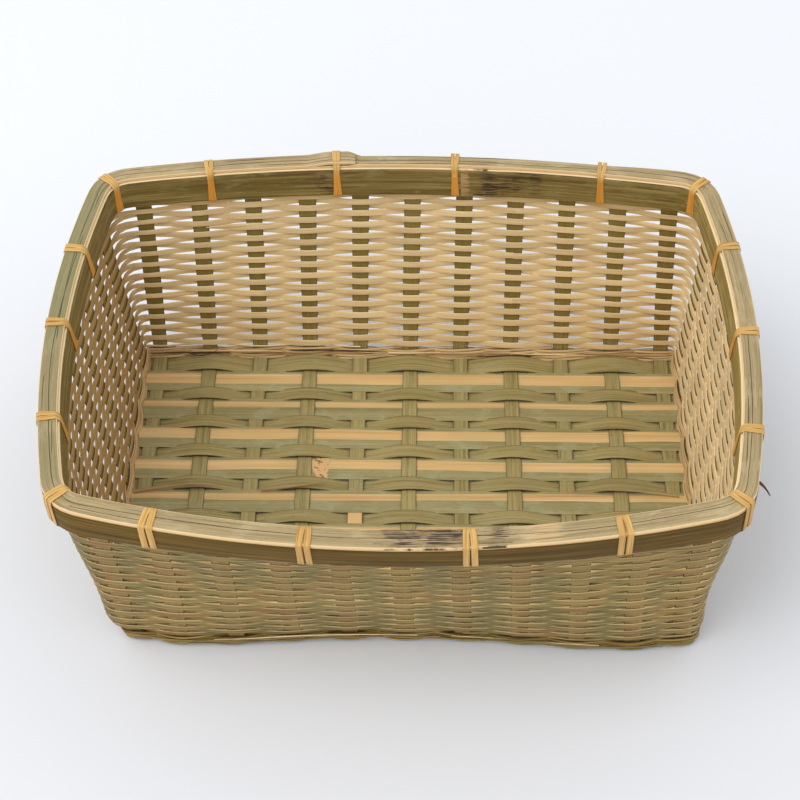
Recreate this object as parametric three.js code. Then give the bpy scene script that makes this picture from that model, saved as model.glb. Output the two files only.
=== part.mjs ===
// A rectangular basket of split bamboo, in millimetres.
// +Z is up, +X runs along the length, and the origin is the middle of the footprint.
// Flat strips cross on the floor and turn up as the stakes of the walls. Weavers run round
// the stakes, and two hoops and a cover strip, tied with lashings, finish the rim.
import * as THREE from 'three';

// Stakes: the long stakes run front to back under the floor, the cross stakes from end to end.
const longStakeCount = 11;
const longStakePitch = 30;
const longStakeWidth = 8.5;
const crossStakeCount = 9;
const crossStakePitch = 23.5;
const crossStakeWidth = 8;
const stakeThickness = 0.8;
const bendRadius = 3;
const restFlat = 1.5;

// Battens: rigid slats with a planed crown, one between each two cross stakes.
const battenWidth = 13;
const battenThickness = 1.8;
const battenCrownWidth = 3;
const battenEdgeThickness = 0.5;

// Walls: the mid-surface that the stakes follow and the weavers pass in and out of.
const lengthMargin = 8;
const depthMargin = 9.5;
const rimHeight = 129.3;
const endFlare = 9.7;
const sideFlare = 13.8;
const endBow = 12.8;
const sideBow = 19.5;
const wallBelly = 2;
const frontSag = 5.4;
const backSag = 2.7;
const crossStakeSpread = 0.05;
const cornerFullness = 1.1;
const cornerStart = 0.5;

// Weavers: thin strips wound round the walls in chasing pairs, two rows to a round.
const weaverThickness = 0.8;
const roundCount = 14;
const roundsPerPair = 4;
const weavingTopDrop = 8;
const rowGap = 0.7;
const endGap = 1;

// Twining at the foot of the walls: two strands twisted round each other.
const twineThickness = 1;
const twineHeight = 2.4;
const twineMiddle = 7;
const twineRise = 1.75;

// Rim: hoops on both faces of the wall, with a cover strip on their edges.
const hoopHeight = 17;
const innerHoopThickness = 3;
const outerHoopThickness = 5.4;
const coverThickness = 2;
const coverSetback = 1.6;
const lapLength = 26;

// Lashings: each makes two turns round the rim, placed in stake pitches from a side's middle.
const lashingWidth = 2;
const lashingThickness = 0.4;
const cornerEase = 0.8;
const lashingPlaces = {
  front: [-4.26, -1.56, 1.26, 3.56],
  right: [-2.72, -0.3, 2.57],
  back: [-3.66, -0.74, 1.36, 3.72],
  left: [-2.37, -0.3, 2.63],
};

// The gap between pieces that touch, and the smaller one inside the weave.
const clearance = 0.3;
const weaveClearance = 0.2;

const stakeColor = 0x8f8a4a;
const battenColor = 0xc9ad73;
const weaverColor = 0xcda66e;
const twineColor = 0xb38a3e;
const hoopColor = 0x9a966c;
const coverColor = 0x9fa080;
const lashingColor = 0xe0a850;

// Heights of the floor weave. A long stake rides over or under a batten by battenLift and is
// level with the middle plane under a cross stake, which bulges away from it by crossLift.
const floorHalfPitch = crossStakePitch / 2;
const battenLift = (battenThickness + stakeThickness) / 2 + clearance;
const crossLift =
  ((battenLift * crossStakeWidth) / 2 / floorHalfPitch + stakeThickness + weaveClearance) /
  (1 - longStakeWidth / longStakePitch);
const floorLevel = crossLift + stakeThickness / 2;

const longStakeReach = ((longStakeCount - 1) / 2) * longStakePitch;
const crossStakeReach = ((crossStakeCount - 1) / 2) * crossStakePitch;
const floorHalfLength = longStakeReach + lengthMargin;
const floorHalfWidth = crossStakeReach + depthMargin;
const wallHeight = rimHeight - floorLevel;
const levelOf = (z) => (z - floorLevel) / wallHeight;

// The four sides in order round the basket, seen from above: front, right, back, left.
const cornerSteps = 3;
const sides = ['front', 'right', 'back', 'left'].map((name, turn) => {
  const long = turn % 2 === 0;
  return {
    name,
    turn,
    count: long ? longStakeCount : crossStakeCount,
    pitch: long ? longStakePitch : crossStakePitch,
    halfWidth: (long ? longStakeWidth : crossStakeWidth) / 2,
    spread: long ? 0 : crossStakeSpread,
    bow: long ? sideBow : endBow,
    sag: name === 'front' ? frontSag : name === 'back' ? backSag : 0,
  };
});
let stationTotal = 0;
for (const side of sides) {
  side.first = stationTotal;
  stationTotal += side.count - 1 + cornerSteps;
}
const stakeTotal = 2 * (longStakeCount + crossStakeCount);

// A point of the wall's mid-surface on one side: u runs along the side from its middle and
// level climbs from 0 at the floor to 1 at the rim. out is the level normal, along the tangent.
function sidePoint(side, u, level) {
  const belly = wallBelly * 4 * level * (1 - level);
  const halfLength = floorHalfLength + endFlare * level + belly;
  const halfWidth = floorHalfWidth + sideFlare * level + belly;
  const long = side.turn % 2 === 0;
  const reach = long ? halfLength : halfWidth;
  const share = 1 - (u / reach) ** 2;
  const v = (long ? halfWidth : halfLength) + side.bow * level * share;
  const slope = (-2 * side.bow * level * u) / reach ** 2;
  const z = floorLevel + level * (wallHeight - side.sag * share);
  const turn = new THREE.Matrix4().makeRotationZ((side.turn * Math.PI) / 2);
  const along = new THREE.Vector3(1, -slope, 0).normalize();
  return {
    point: new THREE.Vector3(u, -v, z).applyMatrix4(turn),
    along: along.clone().applyMatrix4(turn),
    out: new THREE.Vector3(along.y, -along.x, 0).applyMatrix4(turn),
  };
}

const stakePlace = (side, index, level) =>
  (index - (side.count - 1) / 2) * side.pitch * (1 + side.spread * level);

// A point on the corner after a side: share runs from 0 at that side's end to 1 at the next one's.
function cornerPoint(side, share, level) {
  const next = sides[(side.turn + 1) % sides.length];
  const edge = (s) => stakePlace(s, s.count - 1, level) + s.halfWidth + cornerStart;
  const from = sidePoint(side, edge(side), level);
  const to = sidePoint(next, -edge(next), level);
  const gap = to.point.clone().sub(from.point);
  const cross = (a, b) => a.x * b.y - a.y * b.x;
  const reach = cross(gap, to.along) / cross(from.along, to.along);
  const peak = from.point.clone().addScaledVector(from.along, reach);
  peak.z = (from.point.z + to.point.z) / 2;
  const curve = (s) => {
    const a = (1 - s) ** 2;
    const b = 2 * s * (1 - s) * cornerFullness;
    const c = s ** 2;
    return new THREE.Vector3()
      .addScaledVector(from.point, a / (a + b + c))
      .addScaledVector(peak, b / (a + b + c))
      .addScaledVector(to.point, c / (a + b + c));
  };
  const step = 0.01;
  const along = curve(share + step).sub(curve(share - step)).setZ(0).normalize();
  return { point: curve(share), along, out: new THREE.Vector3(along.y, -along.x, 0) };
}

// A point of the ring round the basket at one level. Whole places are the stakes of a side in
// order, then two places inside the corner. cornerEntry is the part of a place before it bends.
const cornerEntry = 0.4;
function ringPoint(place, level) {
  const wrapped = ((place % stationTotal) + stationTotal) % stationTotal;
  const side = sides.findLast((s) => s.first <= wrapped);
  const index = wrapped - side.first;
  const past = index - (side.count - 1);
  const between = (a, b, share) => a + (b - a) * share;
  let found;
  if (past <= 0) {
    found = sidePoint(side, stakePlace(side, index, level), level);
  } else if (past < cornerEntry) {
    const last = stakePlace(side, side.count - 1, level);
    const edge = last + side.halfWidth + cornerStart;
    found = sidePoint(side, between(last, edge, past / cornerEntry), level);
  } else if (past <= cornerSteps - cornerEntry) {
    const share = (past - cornerEntry) / (cornerSteps - 2 * cornerEntry);
    found = cornerPoint(side, share, level);
  } else {
    const next = sides[(side.turn + 1) % sides.length];
    const first = stakePlace(next, 0, level);
    const edge = first - next.halfWidth - cornerStart;
    found = sidePoint(next, between(first, edge, (cornerSteps - past) / cornerEntry), level);
  }
  return found;
}

function ringOffset(place, level, distance) {
  const { point, out } = ringPoint(place, level);
  return point.addScaledVector(out, distance);
}

// A section standing on the wall at a place, from a low to a high level. It leans with the wall,
// and is as thick as given, with its middle at an offset from the wall's mid-surface.
function band(place, low, high, offset, thickness) {
  const bottom = ringOffset(place, low, offset);
  const top = ringOffset(place, high, offset);
  const { out, along } = ringPoint(place, (low + high) / 2);
  const point = bottom.clone().lerp(top, 0.5);
  const across = top.sub(bottom);
  const width = across.length();
  return { point, along, across: across.divideScalar(width), width, through: out, thickness };
}

// A flat section at a bend of a strip, square to the strip, as a mitre is.
function mitred(station, before, after) {
  const into = station.point.clone().sub(before).normalize();
  const outOf = after.clone().sub(station.point).normalize();
  const run = into.clone().add(outOf).normalize();
  const cosine = into.lengthSq() && outOf.lengthSq() ? into.dot(run) : 1;
  const through = run.clone().cross(station.across).normalize();
  return { ...station, through, thickness: station.thickness / Math.max(cosine, 0.6) };
}

// A closed strip of four-sided section through stations. Each has a point, a width across and a
// thickness; one that gives no direction through it is mitred to its neighbours.
function strip(stations) {
  const corners = stations.map((given, i) => {
    const before = stations[Math.max(i - 1, 0)].point;
    const after = stations[Math.min(i + 1, stations.length - 1)].point;
    const station = given.through ? given : mitred(given, before, after);
    return [[-1, -1], [1, -1], [1, 1], [-1, 1]].map(([a, n]) =>
      station.point
        .clone()
        .addScaledVector(station.across, (a * station.width) / 2)
        .addScaledVector(station.through, (n * station.thickness) / 2));
  });
  const positions = [];
  const face = (...points) => points.forEach((p) => positions.push(p.x, p.y, p.z));
  const quad = (a, b, c, d) => {
    face(a, b, c);
    face(a, c, d);
  };
  corners.slice(1).forEach((to, i) => {
    const from = corners[i];
    for (let k = 0; k < 4; k += 1) {
      const n = (k + 1) % 4;
      quad(from[k], from[n], to[n], to[k]);
    }
  });
  const [a, b, c, d] = corners[0];
  quad(a, d, c, b);
  quad(...corners.at(-1));
  const geometry = new THREE.BufferGeometry();
  geometry.setAttribute('position', new THREE.Float32BufferAttribute(positions, 3));
  geometry.computeVertexNormals();
  return geometry;
}

const basket = new THREE.Group();
basket.name = 'bamboo_basket';

function addPiece(name, geometry, color, roughness = 0.6) {
  const material = new THREE.MeshStandardMaterial({ color, roughness, metalness: 0 });
  const mesh = new THREE.Mesh(geometry, material);
  mesh.name = name;
  basket.add(mesh);
  return mesh;
}

// Stakes

const stakeTopLevel = levelOf(rimHeight - clearance);
const wallSteps = 4;

// One leg of a stake on a wall, from the bend at the floor up to the rim.
function stakeLeg(side, index, width) {
  const foot = levelOf(floorLevel + bendRadius);
  const levels = Array.from(
    { length: wallSteps + 1 },
    (_, i) => foot + ((stakeTopLevel - foot) * i) / wallSteps,
  );
  return levels.map((level) => {
    const { point, along } = sidePoint(side, stakePlace(side, index, level), level);
    return { point, across: along, width, thickness: stakeThickness };
  });
}

// A whole stake: down one wall, across the floor at the heights given, and up the other wall.
// runs lists how far along the stake each floor crossing is, and its height over mid-plane.
function stake(fromSide, toSide, index, width, runs, runPoint) {
  const opposite = toSide.count - 1 - index;
  const down = stakeLeg(fromSide, opposite, width).reverse();
  const up = stakeLeg(toSide, index, width);
  down.forEach((station) => station.across.negate());
  const across = up[0].across.clone();
  const floor = runs.map(([run, height]) => ({
    point: runPoint(run).setZ(floorLevel + height),
    across,
    width,
    thickness: stakeThickness,
  }));
  return strip([...down, ...floor, ...up]);
}

const crossPlaces = Array.from({ length: crossStakeCount }, (_, i) => i * crossStakePitch - crossStakeReach);
const battenPlaces = crossPlaces.slice(1).map((place) => place - floorHalfPitch);
const longPlaces = Array.from({ length: longStakeCount }, (_, i) => i * longStakePitch - longStakeReach);

// The turn from floor to wall leaves the floor this far before the wall's foot.
const bendStart = (half) => half - bendRadius / 2;

longPlaces.forEach((place, i) => {
  const over = i % 2 === 1 ? 1 : -1;
  const edge = bendStart(floorHalfWidth);
  const runs = [
    [-edge, 0],
    ...[...crossPlaces.map((y) => [y, 0]), ...battenPlaces.map((y) => [y, over * battenLift])]
      .sort((a, b) => a[0] - b[0]),
    [edge, 0],
  ];
  const geometry = stake(sides[2], sides[0], i, longStakeWidth, runs.reverse(),
    (run) => new THREE.Vector3(place, run, 0));
  addPiece(`long_stake_${String(i + 1).padStart(2, '0')}`, geometry, stakeColor);
});

crossPlaces.forEach((place, i) => {
  const edge = bendStart(floorHalfLength);
  const crossing = (x, k) => (k % 2 === 1
    ? [[x, crossLift]]
    : [[x - restFlat, -crossLift], [x + restFlat, -crossLift]]);
  const runs = [
    [-edge, -crossLift * 0.75],
    ...longPlaces.flatMap(crossing),
    [edge, -crossLift * 0.75],
  ];
  const geometry = stake(sides[3], sides[1], i, crossStakeWidth, runs,
    (run) => new THREE.Vector3(run, place, 0));
  addPiece(`cross_stake_${i + 1}`, geometry, stakeColor);
});

// Battens

const battenEnd = weaverThickness + clearance + stakeThickness;

battenPlaces.forEach((place, i) => {
  const section = new THREE.Shape();
  const crown = battenCrownWidth / 2;
  const crest = battenThickness / 2;
  const rim = battenEdgeThickness / 2;
  const half = battenWidth / 2;
  section.moveTo(-half, -rim);
  section.lineTo(-crown, -crest);
  section.lineTo(crown, -crest);
  section.lineTo(half, -rim);
  section.lineTo(half, rim);
  section.lineTo(crown, crest);
  section.lineTo(-crown, crest);
  section.lineTo(-half, rim);
  section.closePath();
  const length = 2 * (floorHalfLength - battenEnd);
  const geometry = new THREE.ExtrudeGeometry(section, { depth: length, bevelEnabled: false });
  geometry.translate(0, 0, -length / 2);
  const [x, y, z] = [[1, 0, 0], [0, 1, 0], [0, 0, 1]].map((axis) => new THREE.Vector3(...axis));
  geometry.applyMatrix4(new THREE.Matrix4().makeBasis(y, z, x));
  geometry.translate(0, place, floorLevel);
  addPiece(`floor_batten_${i + 1}`, geometry, battenColor, 0.5);
});

// Weavers

// How far a strip passes to the side of a stake's middle, so that it clears the stake's edges.
function passing(thickness) {
  const touch = (stakeThickness + thickness) / 2 + clearance;
  return touch / (1 - crossStakeWidth / crossStakePitch);
}
const weaverOffset = passing(weaverThickness);
const twineOffset = passing(twineThickness);
const cornerOffsetShare = 0.7;

// The side of the wall that a strand is on at a whole place: 1 outside, -1 inside, and part of
// the way across inside a corner.
function sideOfWall(place, strand) {
  const side = sides.findLast((s) => s.first <= place % stationTotal);
  const index = (place % stationTotal) - side.first;
  const stakesBefore = sides.slice(0, side.turn).reduce((sum, s) => sum + s.count, 0);
  const sign = (k) => ((stakesBefore + k + strand) % 2 === 0 ? 1 : -1);
  const last = side.count - 1;
  if (index <= last) return sign(index);
  return cornerOffsetShare * sign(index === last + 1 ? last : last + 1);
}

const weavingFoot = levelOf(twineMiddle + twineRise + twineHeight / 2 + clearance);
const weavingTop = levelOf(rimHeight - weavingTopDrop);
const rowCount = 2 * roundCount;
const rowStep = (weavingTop - weavingFoot) / (rowCount + 2);
const rowLevel = (row) => weavingFoot + (row + 0.5) * rowStep;
const rowHalf = rowStep / 2 - rowGap / 2 / wallHeight;

// The seam, where each pair of weavers starts and ends, is on the back wall.
const seam = sides[2].first + 3;

function weaver(firstRow, rounds) {
  const steps = rounds * stationTotal;
  const stations = [];
  for (let step = 0; step <= steps; step += 1) {
    const place = seam + step;
    const level = rowLevel(firstRow + (2 * step) / stationTotal);
    const offset = sideOfWall(place, firstRow) * weaverOffset;
    const station = band(place, level - rowHalf, level + rowHalf, offset, weaverThickness);
    const end = step === 0 ? 1 : step === steps ? -1 : 0;
    station.point.addScaledVector(station.along, end * endGap);
    stations.push(station);
  }
  return strip(stations);
}

let weaverNumber = 0;
for (let round = 0; round < roundCount; round += roundsPerPair) {
  const rounds = Math.min(roundsPerPair, roundCount - round);
  for (const strand of [0, 1]) {
    weaverNumber += 1;
    addPiece(`weaver_${weaverNumber}`, weaver(2 * round + strand, rounds), weaverColor);
  }
}

// Twining

// One strand of the twining: round the outside of a stake, over its partner, and inside the next.
function twine(strand) {
  const stations = [];
  const add = (place, share, rise, shift = 0) => {
    const middle = twineMiddle + rise * twineRise;
    const [low, high] = [-1, 1].map((end) => levelOf(middle + (end * twineHeight) / 2));
    const station = band(place, low, high, share * twineOffset, twineThickness);
    station.point.addScaledVector(station.along, shift);
    stations.push(station);
  };
  for (let step = 0; step < stationTotal; step += 1) {
    const place = seam + step;
    const here = sideOfWall(place, strand);
    const next = sideOfWall(place + 1, strand);
    const corner = Math.abs(here) < 1;
    const leaving = corner ? Math.sign(here) : here;
    const start = step === 0 ? endGap : 0;
    if (corner) {
      const before = Math.abs(sideOfWall(place - 1, strand)) === 1;
      const heading = before ? leaving : -leaving;
      add(place, 0.5 * leaving, heading);
    } else {
      add(place, here, 0, start);
      if (Math.abs(next) === 1) add(place + 0.5, 0, leaving);
    }
  }
  add(seam + stationTotal, sideOfWall(seam, strand), 0, -endGap);
  return strip(stations);
}

[0, 1].forEach((strand) => addPiece(`base_twine_${strand + 1}`, twine(strand), twineColor));

// Rim

const wallHalf = weaverOffset + weaverThickness / 2;
const innerHoopOffset = -(wallHalf + clearance + innerHoopThickness / 2);
const outerHoopOffset = wallHalf + clearance + outerHoopThickness / 2;
const innerFace = innerHoopOffset - innerHoopThickness / 2;
const outerFace = outerHoopOffset + outerHoopThickness / 2;

// The places of a full turn from a joint, with extra ones in the corners, and the lap's ends.
const lapRamp = 0.15;
function turnPlaces(joint) {
  const end = joint + stationTotal + lapLength / longStakePitch;
  const places = [];
  for (const lap of [0, stationTotal, 2 * stationTotal]) {
    for (const side of sides) {
      const last = lap + side.first + side.count - 1;
      for (let i = 0; i < side.count; i += 1) places.push(lap + side.first + i);
      const bend = cornerSteps - 2 * cornerEntry;
      for (let i = 0; i <= 4; i += 1) places.push(last + cornerEntry + (bend * i) / 4);
    }
  }
  const lapEnd = joint + lapLength / longStakePitch;
  const extra = [joint, lapEnd, lapEnd + lapRamp, end - lapLength / longStakePitch - lapRamp,
    end - lapLength / longStakePitch, end];
  return [...places.filter((p) => p > joint && p < end
    && extra.every((e) => Math.abs(e - p) > 0.05)), ...extra].sort((a, b) => a - b);
}

// The share of the thickness that a turn keeps at a place, and where it lies: -1 is the start's
// half of the lap joint, 1 the end's half, and 0 the whole strip.
function lapHalf(place, joint) {
  const lap = lapLength / longStakePitch;
  if (place <= joint + lap) return -1;
  if (place >= joint + stationTotal) return 1;
  return 0;
}

function hoop(joint, offset, thickness) {
  const low = levelOf(rimHeight - hoopHeight);
  return strip(turnPlaces(joint).map((place) => {
    const half = lapHalf(place, joint);
    const kept = half === 0 ? thickness : (thickness - clearance) / 2;
    return band(place, low, 1, offset + (half * (thickness + clearance)) / 4, kept);
  }));
}

// Joints of the rim's strips, in stake places: all on the back, each in a place of its own.
const innerHoopJoint = sides[2].first + 3.5;
const outerHoopJoint = sides[2].first + 7.2;
const coverJoint = sides[2].first + 6;

addPiece('inner_hoop', hoop(innerHoopJoint, innerHoopOffset, innerHoopThickness), hoopColor, 0.45);
addPiece('outer_hoop', hoop(outerHoopJoint, outerHoopOffset, outerHoopThickness), hoopColor, 0.45);

const coverInner = innerFace + coverSetback;
const coverOuter = outerFace - clearance;
const coverLow = rimHeight + clearance;
const coverTop = coverLow + coverThickness;

// The cover's start lies on top of its end.
function cover(joint) {
  const lower = (coverThickness - clearance) / 2;
  return strip(turnPlaces(joint).map((place) => {
    const half = lapHalf(place, joint);
    const low = levelOf(half < 0 ? coverTop - lower : coverLow);
    const high = levelOf(half > 0 ? coverLow + lower : coverTop);
    return band(place, low, high, (coverInner + coverOuter) / 2, coverOuter - coverInner);
  }));
}
addPiece('rim_cover', cover(coverJoint), coverColor, 0.5);

// Lashings

// The level of the gap between two rows of weaving, nearest below the hoops at a place.
function gapLevel(place) {
  const below = levelOf(rimHeight - hoopHeight - 2 * clearance - lashingThickness);
  const from = (((place - seam) % stationTotal) + stationTotal) % stationTotal;
  const climb = ((2 * from) / stationTotal) % 1;
  const row = Math.floor((below - weavingFoot) / rowStep - climb - 1);
  return rowLevel(row + climb + 0.5);
}

function lashing(place, ease = 0) {
  const { along } = ringPoint(place, 1);
  const gap = clearance + lashingThickness / 2;
  const top = levelOf(rimHeight + gap);
  const bottom = levelOf(rimHeight - hoopHeight - gap);
  const over = levelOf(coverTop + gap);
  const inside = innerFace - gap - ease;
  const outside = outerFace + gap;
  const through = gapLevel(place);
  const turn = [
    [inside, top],
    [coverInner - gap, over],
    [coverOuter + gap, over],
    [outside, top],
    [outside, bottom],
    [wallHalf, through],
    [-wallHalf, through],
    [inside, bottom],
  ];
  const spacing = (lashingWidth + clearance) / 2;
  const stations = [-1, 1].flatMap((shift) => turn.map(([distance, level]) => ({
    point: ringOffset(place, level, distance).addScaledVector(along, shift * spacing),
    across: along,
    width: lashingWidth,
    thickness: lashingThickness,
  })));
  return strip(stations);
}

for (const side of sides) {
  lashingPlaces[side.name].forEach((pitches, i) => {
    const place = side.first + (side.count - 1) / 2 + pitches;
    addPiece(`lashing_${side.name}_${i + 1}`, lashing(place), lashingColor, 0.4);
  });
}
sides.forEach((side, i) => {
  const place = side.first + side.count - 1 + cornerSteps / 2;
  addPiece(`lashing_corner_${i + 1}`, lashing(place, cornerEase), lashingColor, 0.4);
});

export default basket;
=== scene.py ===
# %% [markdown]
# # A split bamboo basket
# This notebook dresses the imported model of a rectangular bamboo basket. Every strip of the real
# basket was split from a cane, so each has a hard olive skin on one face and pale wood on the
# other. The pieces here are those strips, each wound through the others as a weaver would do it.

# %% Load the frame
import math

import bmesh
import bpy
from mathutils import Matrix, Vector, noise


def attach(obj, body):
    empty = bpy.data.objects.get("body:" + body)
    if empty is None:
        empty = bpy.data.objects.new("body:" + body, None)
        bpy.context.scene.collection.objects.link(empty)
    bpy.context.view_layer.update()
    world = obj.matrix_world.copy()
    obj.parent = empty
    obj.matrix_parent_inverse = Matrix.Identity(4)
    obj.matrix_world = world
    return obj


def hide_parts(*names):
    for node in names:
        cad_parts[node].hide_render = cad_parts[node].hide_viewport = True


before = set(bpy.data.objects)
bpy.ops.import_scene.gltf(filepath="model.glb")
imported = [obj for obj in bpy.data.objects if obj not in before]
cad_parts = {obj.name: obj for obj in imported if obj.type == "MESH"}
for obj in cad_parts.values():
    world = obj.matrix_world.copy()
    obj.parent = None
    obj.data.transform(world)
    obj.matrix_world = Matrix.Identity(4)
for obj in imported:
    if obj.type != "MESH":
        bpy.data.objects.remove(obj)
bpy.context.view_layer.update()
print("nodes in the frame:", len(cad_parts))

# %% [markdown]
# The wall is one surface that all the strips share. Its rule is the same as in the model: four
# bowed and leaning sides joined by rounded corners. With the rule in a few functions, a strip of
# any kind only has to say where on the wall it runs, and how far in front or behind.

# %% Sizes of the wall, in millimetres
MM = 0.001
RIM_HEIGHT = 129.3
FLOOR_LEVEL = 2.56
WALL_HEIGHT = RIM_HEIGHT - FLOOR_LEVEL
FLOOR_HALF_LENGTH = 158
FLOOR_HALF_WIDTH = 103.5
END_FLARE = 9.7
SIDE_FLARE = 13.8
END_BOW = 12.8
SIDE_BOW = 19.5
WALL_BELLY = 2
CORNER_FULLNESS = 1.1
CORNER_START = 0.5
HAND_SKEW = 1.9
BACK_DRIFT = 5

# %% The four sides
class Side:
    """One wall: its number of stakes, their pitch and width, and how it bows and sags."""

    def __init__(self, turn, count, pitch, width, spread, bow, sag):
        self.turn = turn
        self.count = count
        self.pitch = pitch
        self.half_width = width / 2
        self.spread = spread
        self.bow = bow
        self.sag = sag
        self.long = turn % 2 == 0


LONG_STAKES = 11
CROSS_STAKES = 9
LONG_PITCH = 30
CROSS_PITCH = 23.5
FRONT, RIGHT, BACK, LEFT = range(4)
SIDES = [
    Side(FRONT, LONG_STAKES, LONG_PITCH, 8.5, 0, SIDE_BOW, 5.4),
    Side(RIGHT, CROSS_STAKES, CROSS_PITCH, 8, 0.05, END_BOW, 0),
    Side(BACK, LONG_STAKES, LONG_PITCH, 8.5, 0, SIDE_BOW, 2.7),
    Side(LEFT, CROSS_STAKES, CROSS_PITCH, 8, 0.05, END_BOW, 0),
]
first = 0
for side in SIDES:
    side.first = first
    first += side.count
STAKES_ROUND = first


def level_of(height):
    """A height in millimetres as a share of the wall's, 0 at the floor and 1 at the rim."""
    return (height - FLOOR_LEVEL) / WALL_HEIGHT


def side_point(side, u, level):
    """A point of the wall's middle surface, its direction along the wall, and outwards."""
    belly = WALL_BELLY * 4 * level * (1 - level)
    half_length = FLOOR_HALF_LENGTH + END_FLARE * level + belly
    half_width = FLOOR_HALF_WIDTH + SIDE_FLARE * level + belly
    reach = half_length if side.long else half_width
    share = 1 - (u / reach) ** 2
    v = (half_width if side.long else half_length) + side.bow * level * share
    slope = -2 * side.bow * level * u / reach**2
    z = FLOOR_LEVEL + level * (WALL_HEIGHT - side.sag * share)
    turn = Matrix.Rotation(side.turn * math.pi / 2, 3, "Z")
    along = Vector((1, -slope, 0)).normalized()
    out = Vector((along.y, -along.x, 0))
    return turn @ Vector((u, -v, z)), turn @ along, turn @ out


def stake_place(side, index, level):
    """How far from the middle of its side a stake stands."""
    return (index - (side.count - 1) / 2) * side.pitch * (1 + side.spread * level)


def side_edge(side, level):
    """How far from the middle of a side the rounded corners begin."""
    return stake_place(side, side.count - 1, level) + side.half_width + CORNER_START


def corner_point(side, share, level):
    """A point on the rounded corner that follows a side."""
    following = SIDES[(side.turn + 1) % 4]
    start, start_along, _ = side_point(side, side_edge(side, level), level)
    end, end_along, _ = side_point(following, -side_edge(following, level), level)
    gap = end - start
    cross = start_along.x * end_along.y - start_along.y * end_along.x
    reach = (gap.x * end_along.y - gap.y * end_along.x) / cross
    peak = start + start_along * reach
    peak.z = (start.z + end.z) / 2

    def curve(s):
        a, b, c = (1 - s) ** 2, 2 * s * (1 - s) * CORNER_FULLNESS, s**2
        return (start * a + peak * b + end * c) / (a + b + c)

    along = curve(share + 0.01) - curve(share - 0.01)
    along.z = 0
    along.normalize()
    return curve(share), along, Vector((along.y, -along.x, 0))

# %% [markdown]
# A place on the ring is counted in stakes, so 4 is the fifth stake and 4.5 is halfway to the
# next. Between the last stake of a side and the first of the next the ring turns the corner.
# The basket was made by hand, so its rim sits a little to the left of its floor, its foot bulges
# in front, its two front corners are drawn in above the foot, the stakes of the back wall drift
# to the right as they climb, and the floor strips were pushed back a little behind the middle.

# %% Points of the ring
CORNER_ENTRY = 0.14
FLOOR_PUSH = 2.3
FLOOR_PUSH_MIDDLE = 24
FLOOR_PUSH_REACH = 34
FOOT_BULGES = [(-108, 4.6, 55), (107, 5.8, 55)]
CORNER_TUCK_LEFT = 3.4
CORNER_TUCK_RIGHT = 5.6
TUCK_LEVEL = 0.31
TUCK_SPREAD = 0.29
FOOT_TUCK_LEFT = 5.5
FOOT_TUCK_RIGHT = 2
FOOT_TUCK_BACK = 0.4
# where an effect begins, and how much further on it is full: towards the front, down the wall,
# and out towards the corners; the last one has all three
FRONT_RAMP = (40, 60)
FOOT_RAMP = (-0.6, 0.5)
TUCK_RAMP = (105, 55)
FOOT_TUCK_RAMPS = [(-0.14, 0.14), (125, 32), (72, 30)]


def smooth(value):
    """0 below 0, 1 above 1, and an even rise in between."""
    share = max(0.0, min(1.0, value))
    return share * share * (3 - 2 * share)


def ramp(value, start, length):
    """0 up to the start, 1 once the length is passed, and an even rise in between."""
    return smooth((value - start) / length)


def wander(a, b=0.0, c=0.0):
    """Smooth unevenness between -1 and 1."""
    return noise.noise(Vector((a, b, c)))


def on_side(place):
    """The side of a place, the side that follows, and how many stakes past its first it is."""
    wrapped = place % STAKES_ROUND
    side = [s for s in SIDES if s.first <= wrapped][-1]
    return side, SIDES[(side.turn + 1) % 4], wrapped - side.first


def by_side(place, values):
    """A value that each side has its own of, blended round the corners."""
    side, following, index = on_side(place)
    past = smooth(index - (side.count - 1))
    return values[side.turn] * (1 - past) + values[following.turn] * past


def by_hand(point, level):
    """Skew between floor and rim, and the bulges and tucked corners of the foot in front."""
    moved = point.copy()
    moved.x += HAND_SKEW * (1 - 2 * level)
    front = ramp(-point.y, *FRONT_RAMP)
    foot = front * ramp(-level, *FOOT_RAMP)
    for middle, reach, spread in FOOT_BULGES:
        moved.y -= reach * foot * math.exp(-(((point.x - middle) / spread) ** 2))
    tuck = CORNER_TUCK_RIGHT if point.x > 0 else CORNER_TUCK_LEFT
    tuck *= front * math.exp(-(((level - TUCK_LEVEL) / TUCK_SPREAD) ** 2))
    tuck *= ramp(abs(point.x), *TUCK_RAMP)
    foot_tuck = FOOT_TUCK_RIGHT if point.x > 0 else FOOT_TUCK_LEFT
    for value, limits in zip((-level, abs(point.x), -point.y), FOOT_TUCK_RAMPS):
        foot_tuck *= ramp(value, *limits)
    moved.x -= math.copysign(tuck + foot_tuck, point.x)
    moved.y += FOOT_TUCK_BACK * foot_tuck
    return moved


def drifted(point, level):
    """A stake's point, moved with the drift of the back wall's stakes and the floor's push."""
    moved = by_hand(point, level)
    push = FLOOR_PUSH * math.exp(-(((point.y - FLOOR_PUSH_MIDDLE) / FLOOR_PUSH_REACH) ** 2))
    moved.y += push * max(0.0, 1 - 2 * level)
    if point.y > 0:
        inwards = max(0.0, 1 - (point.x / FLOOR_HALF_LENGTH) ** 2)
        moved.x += BACK_DRIFT * level * inwards * min(1, point.y / FLOOR_HALF_WIDTH)
    return moved


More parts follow.
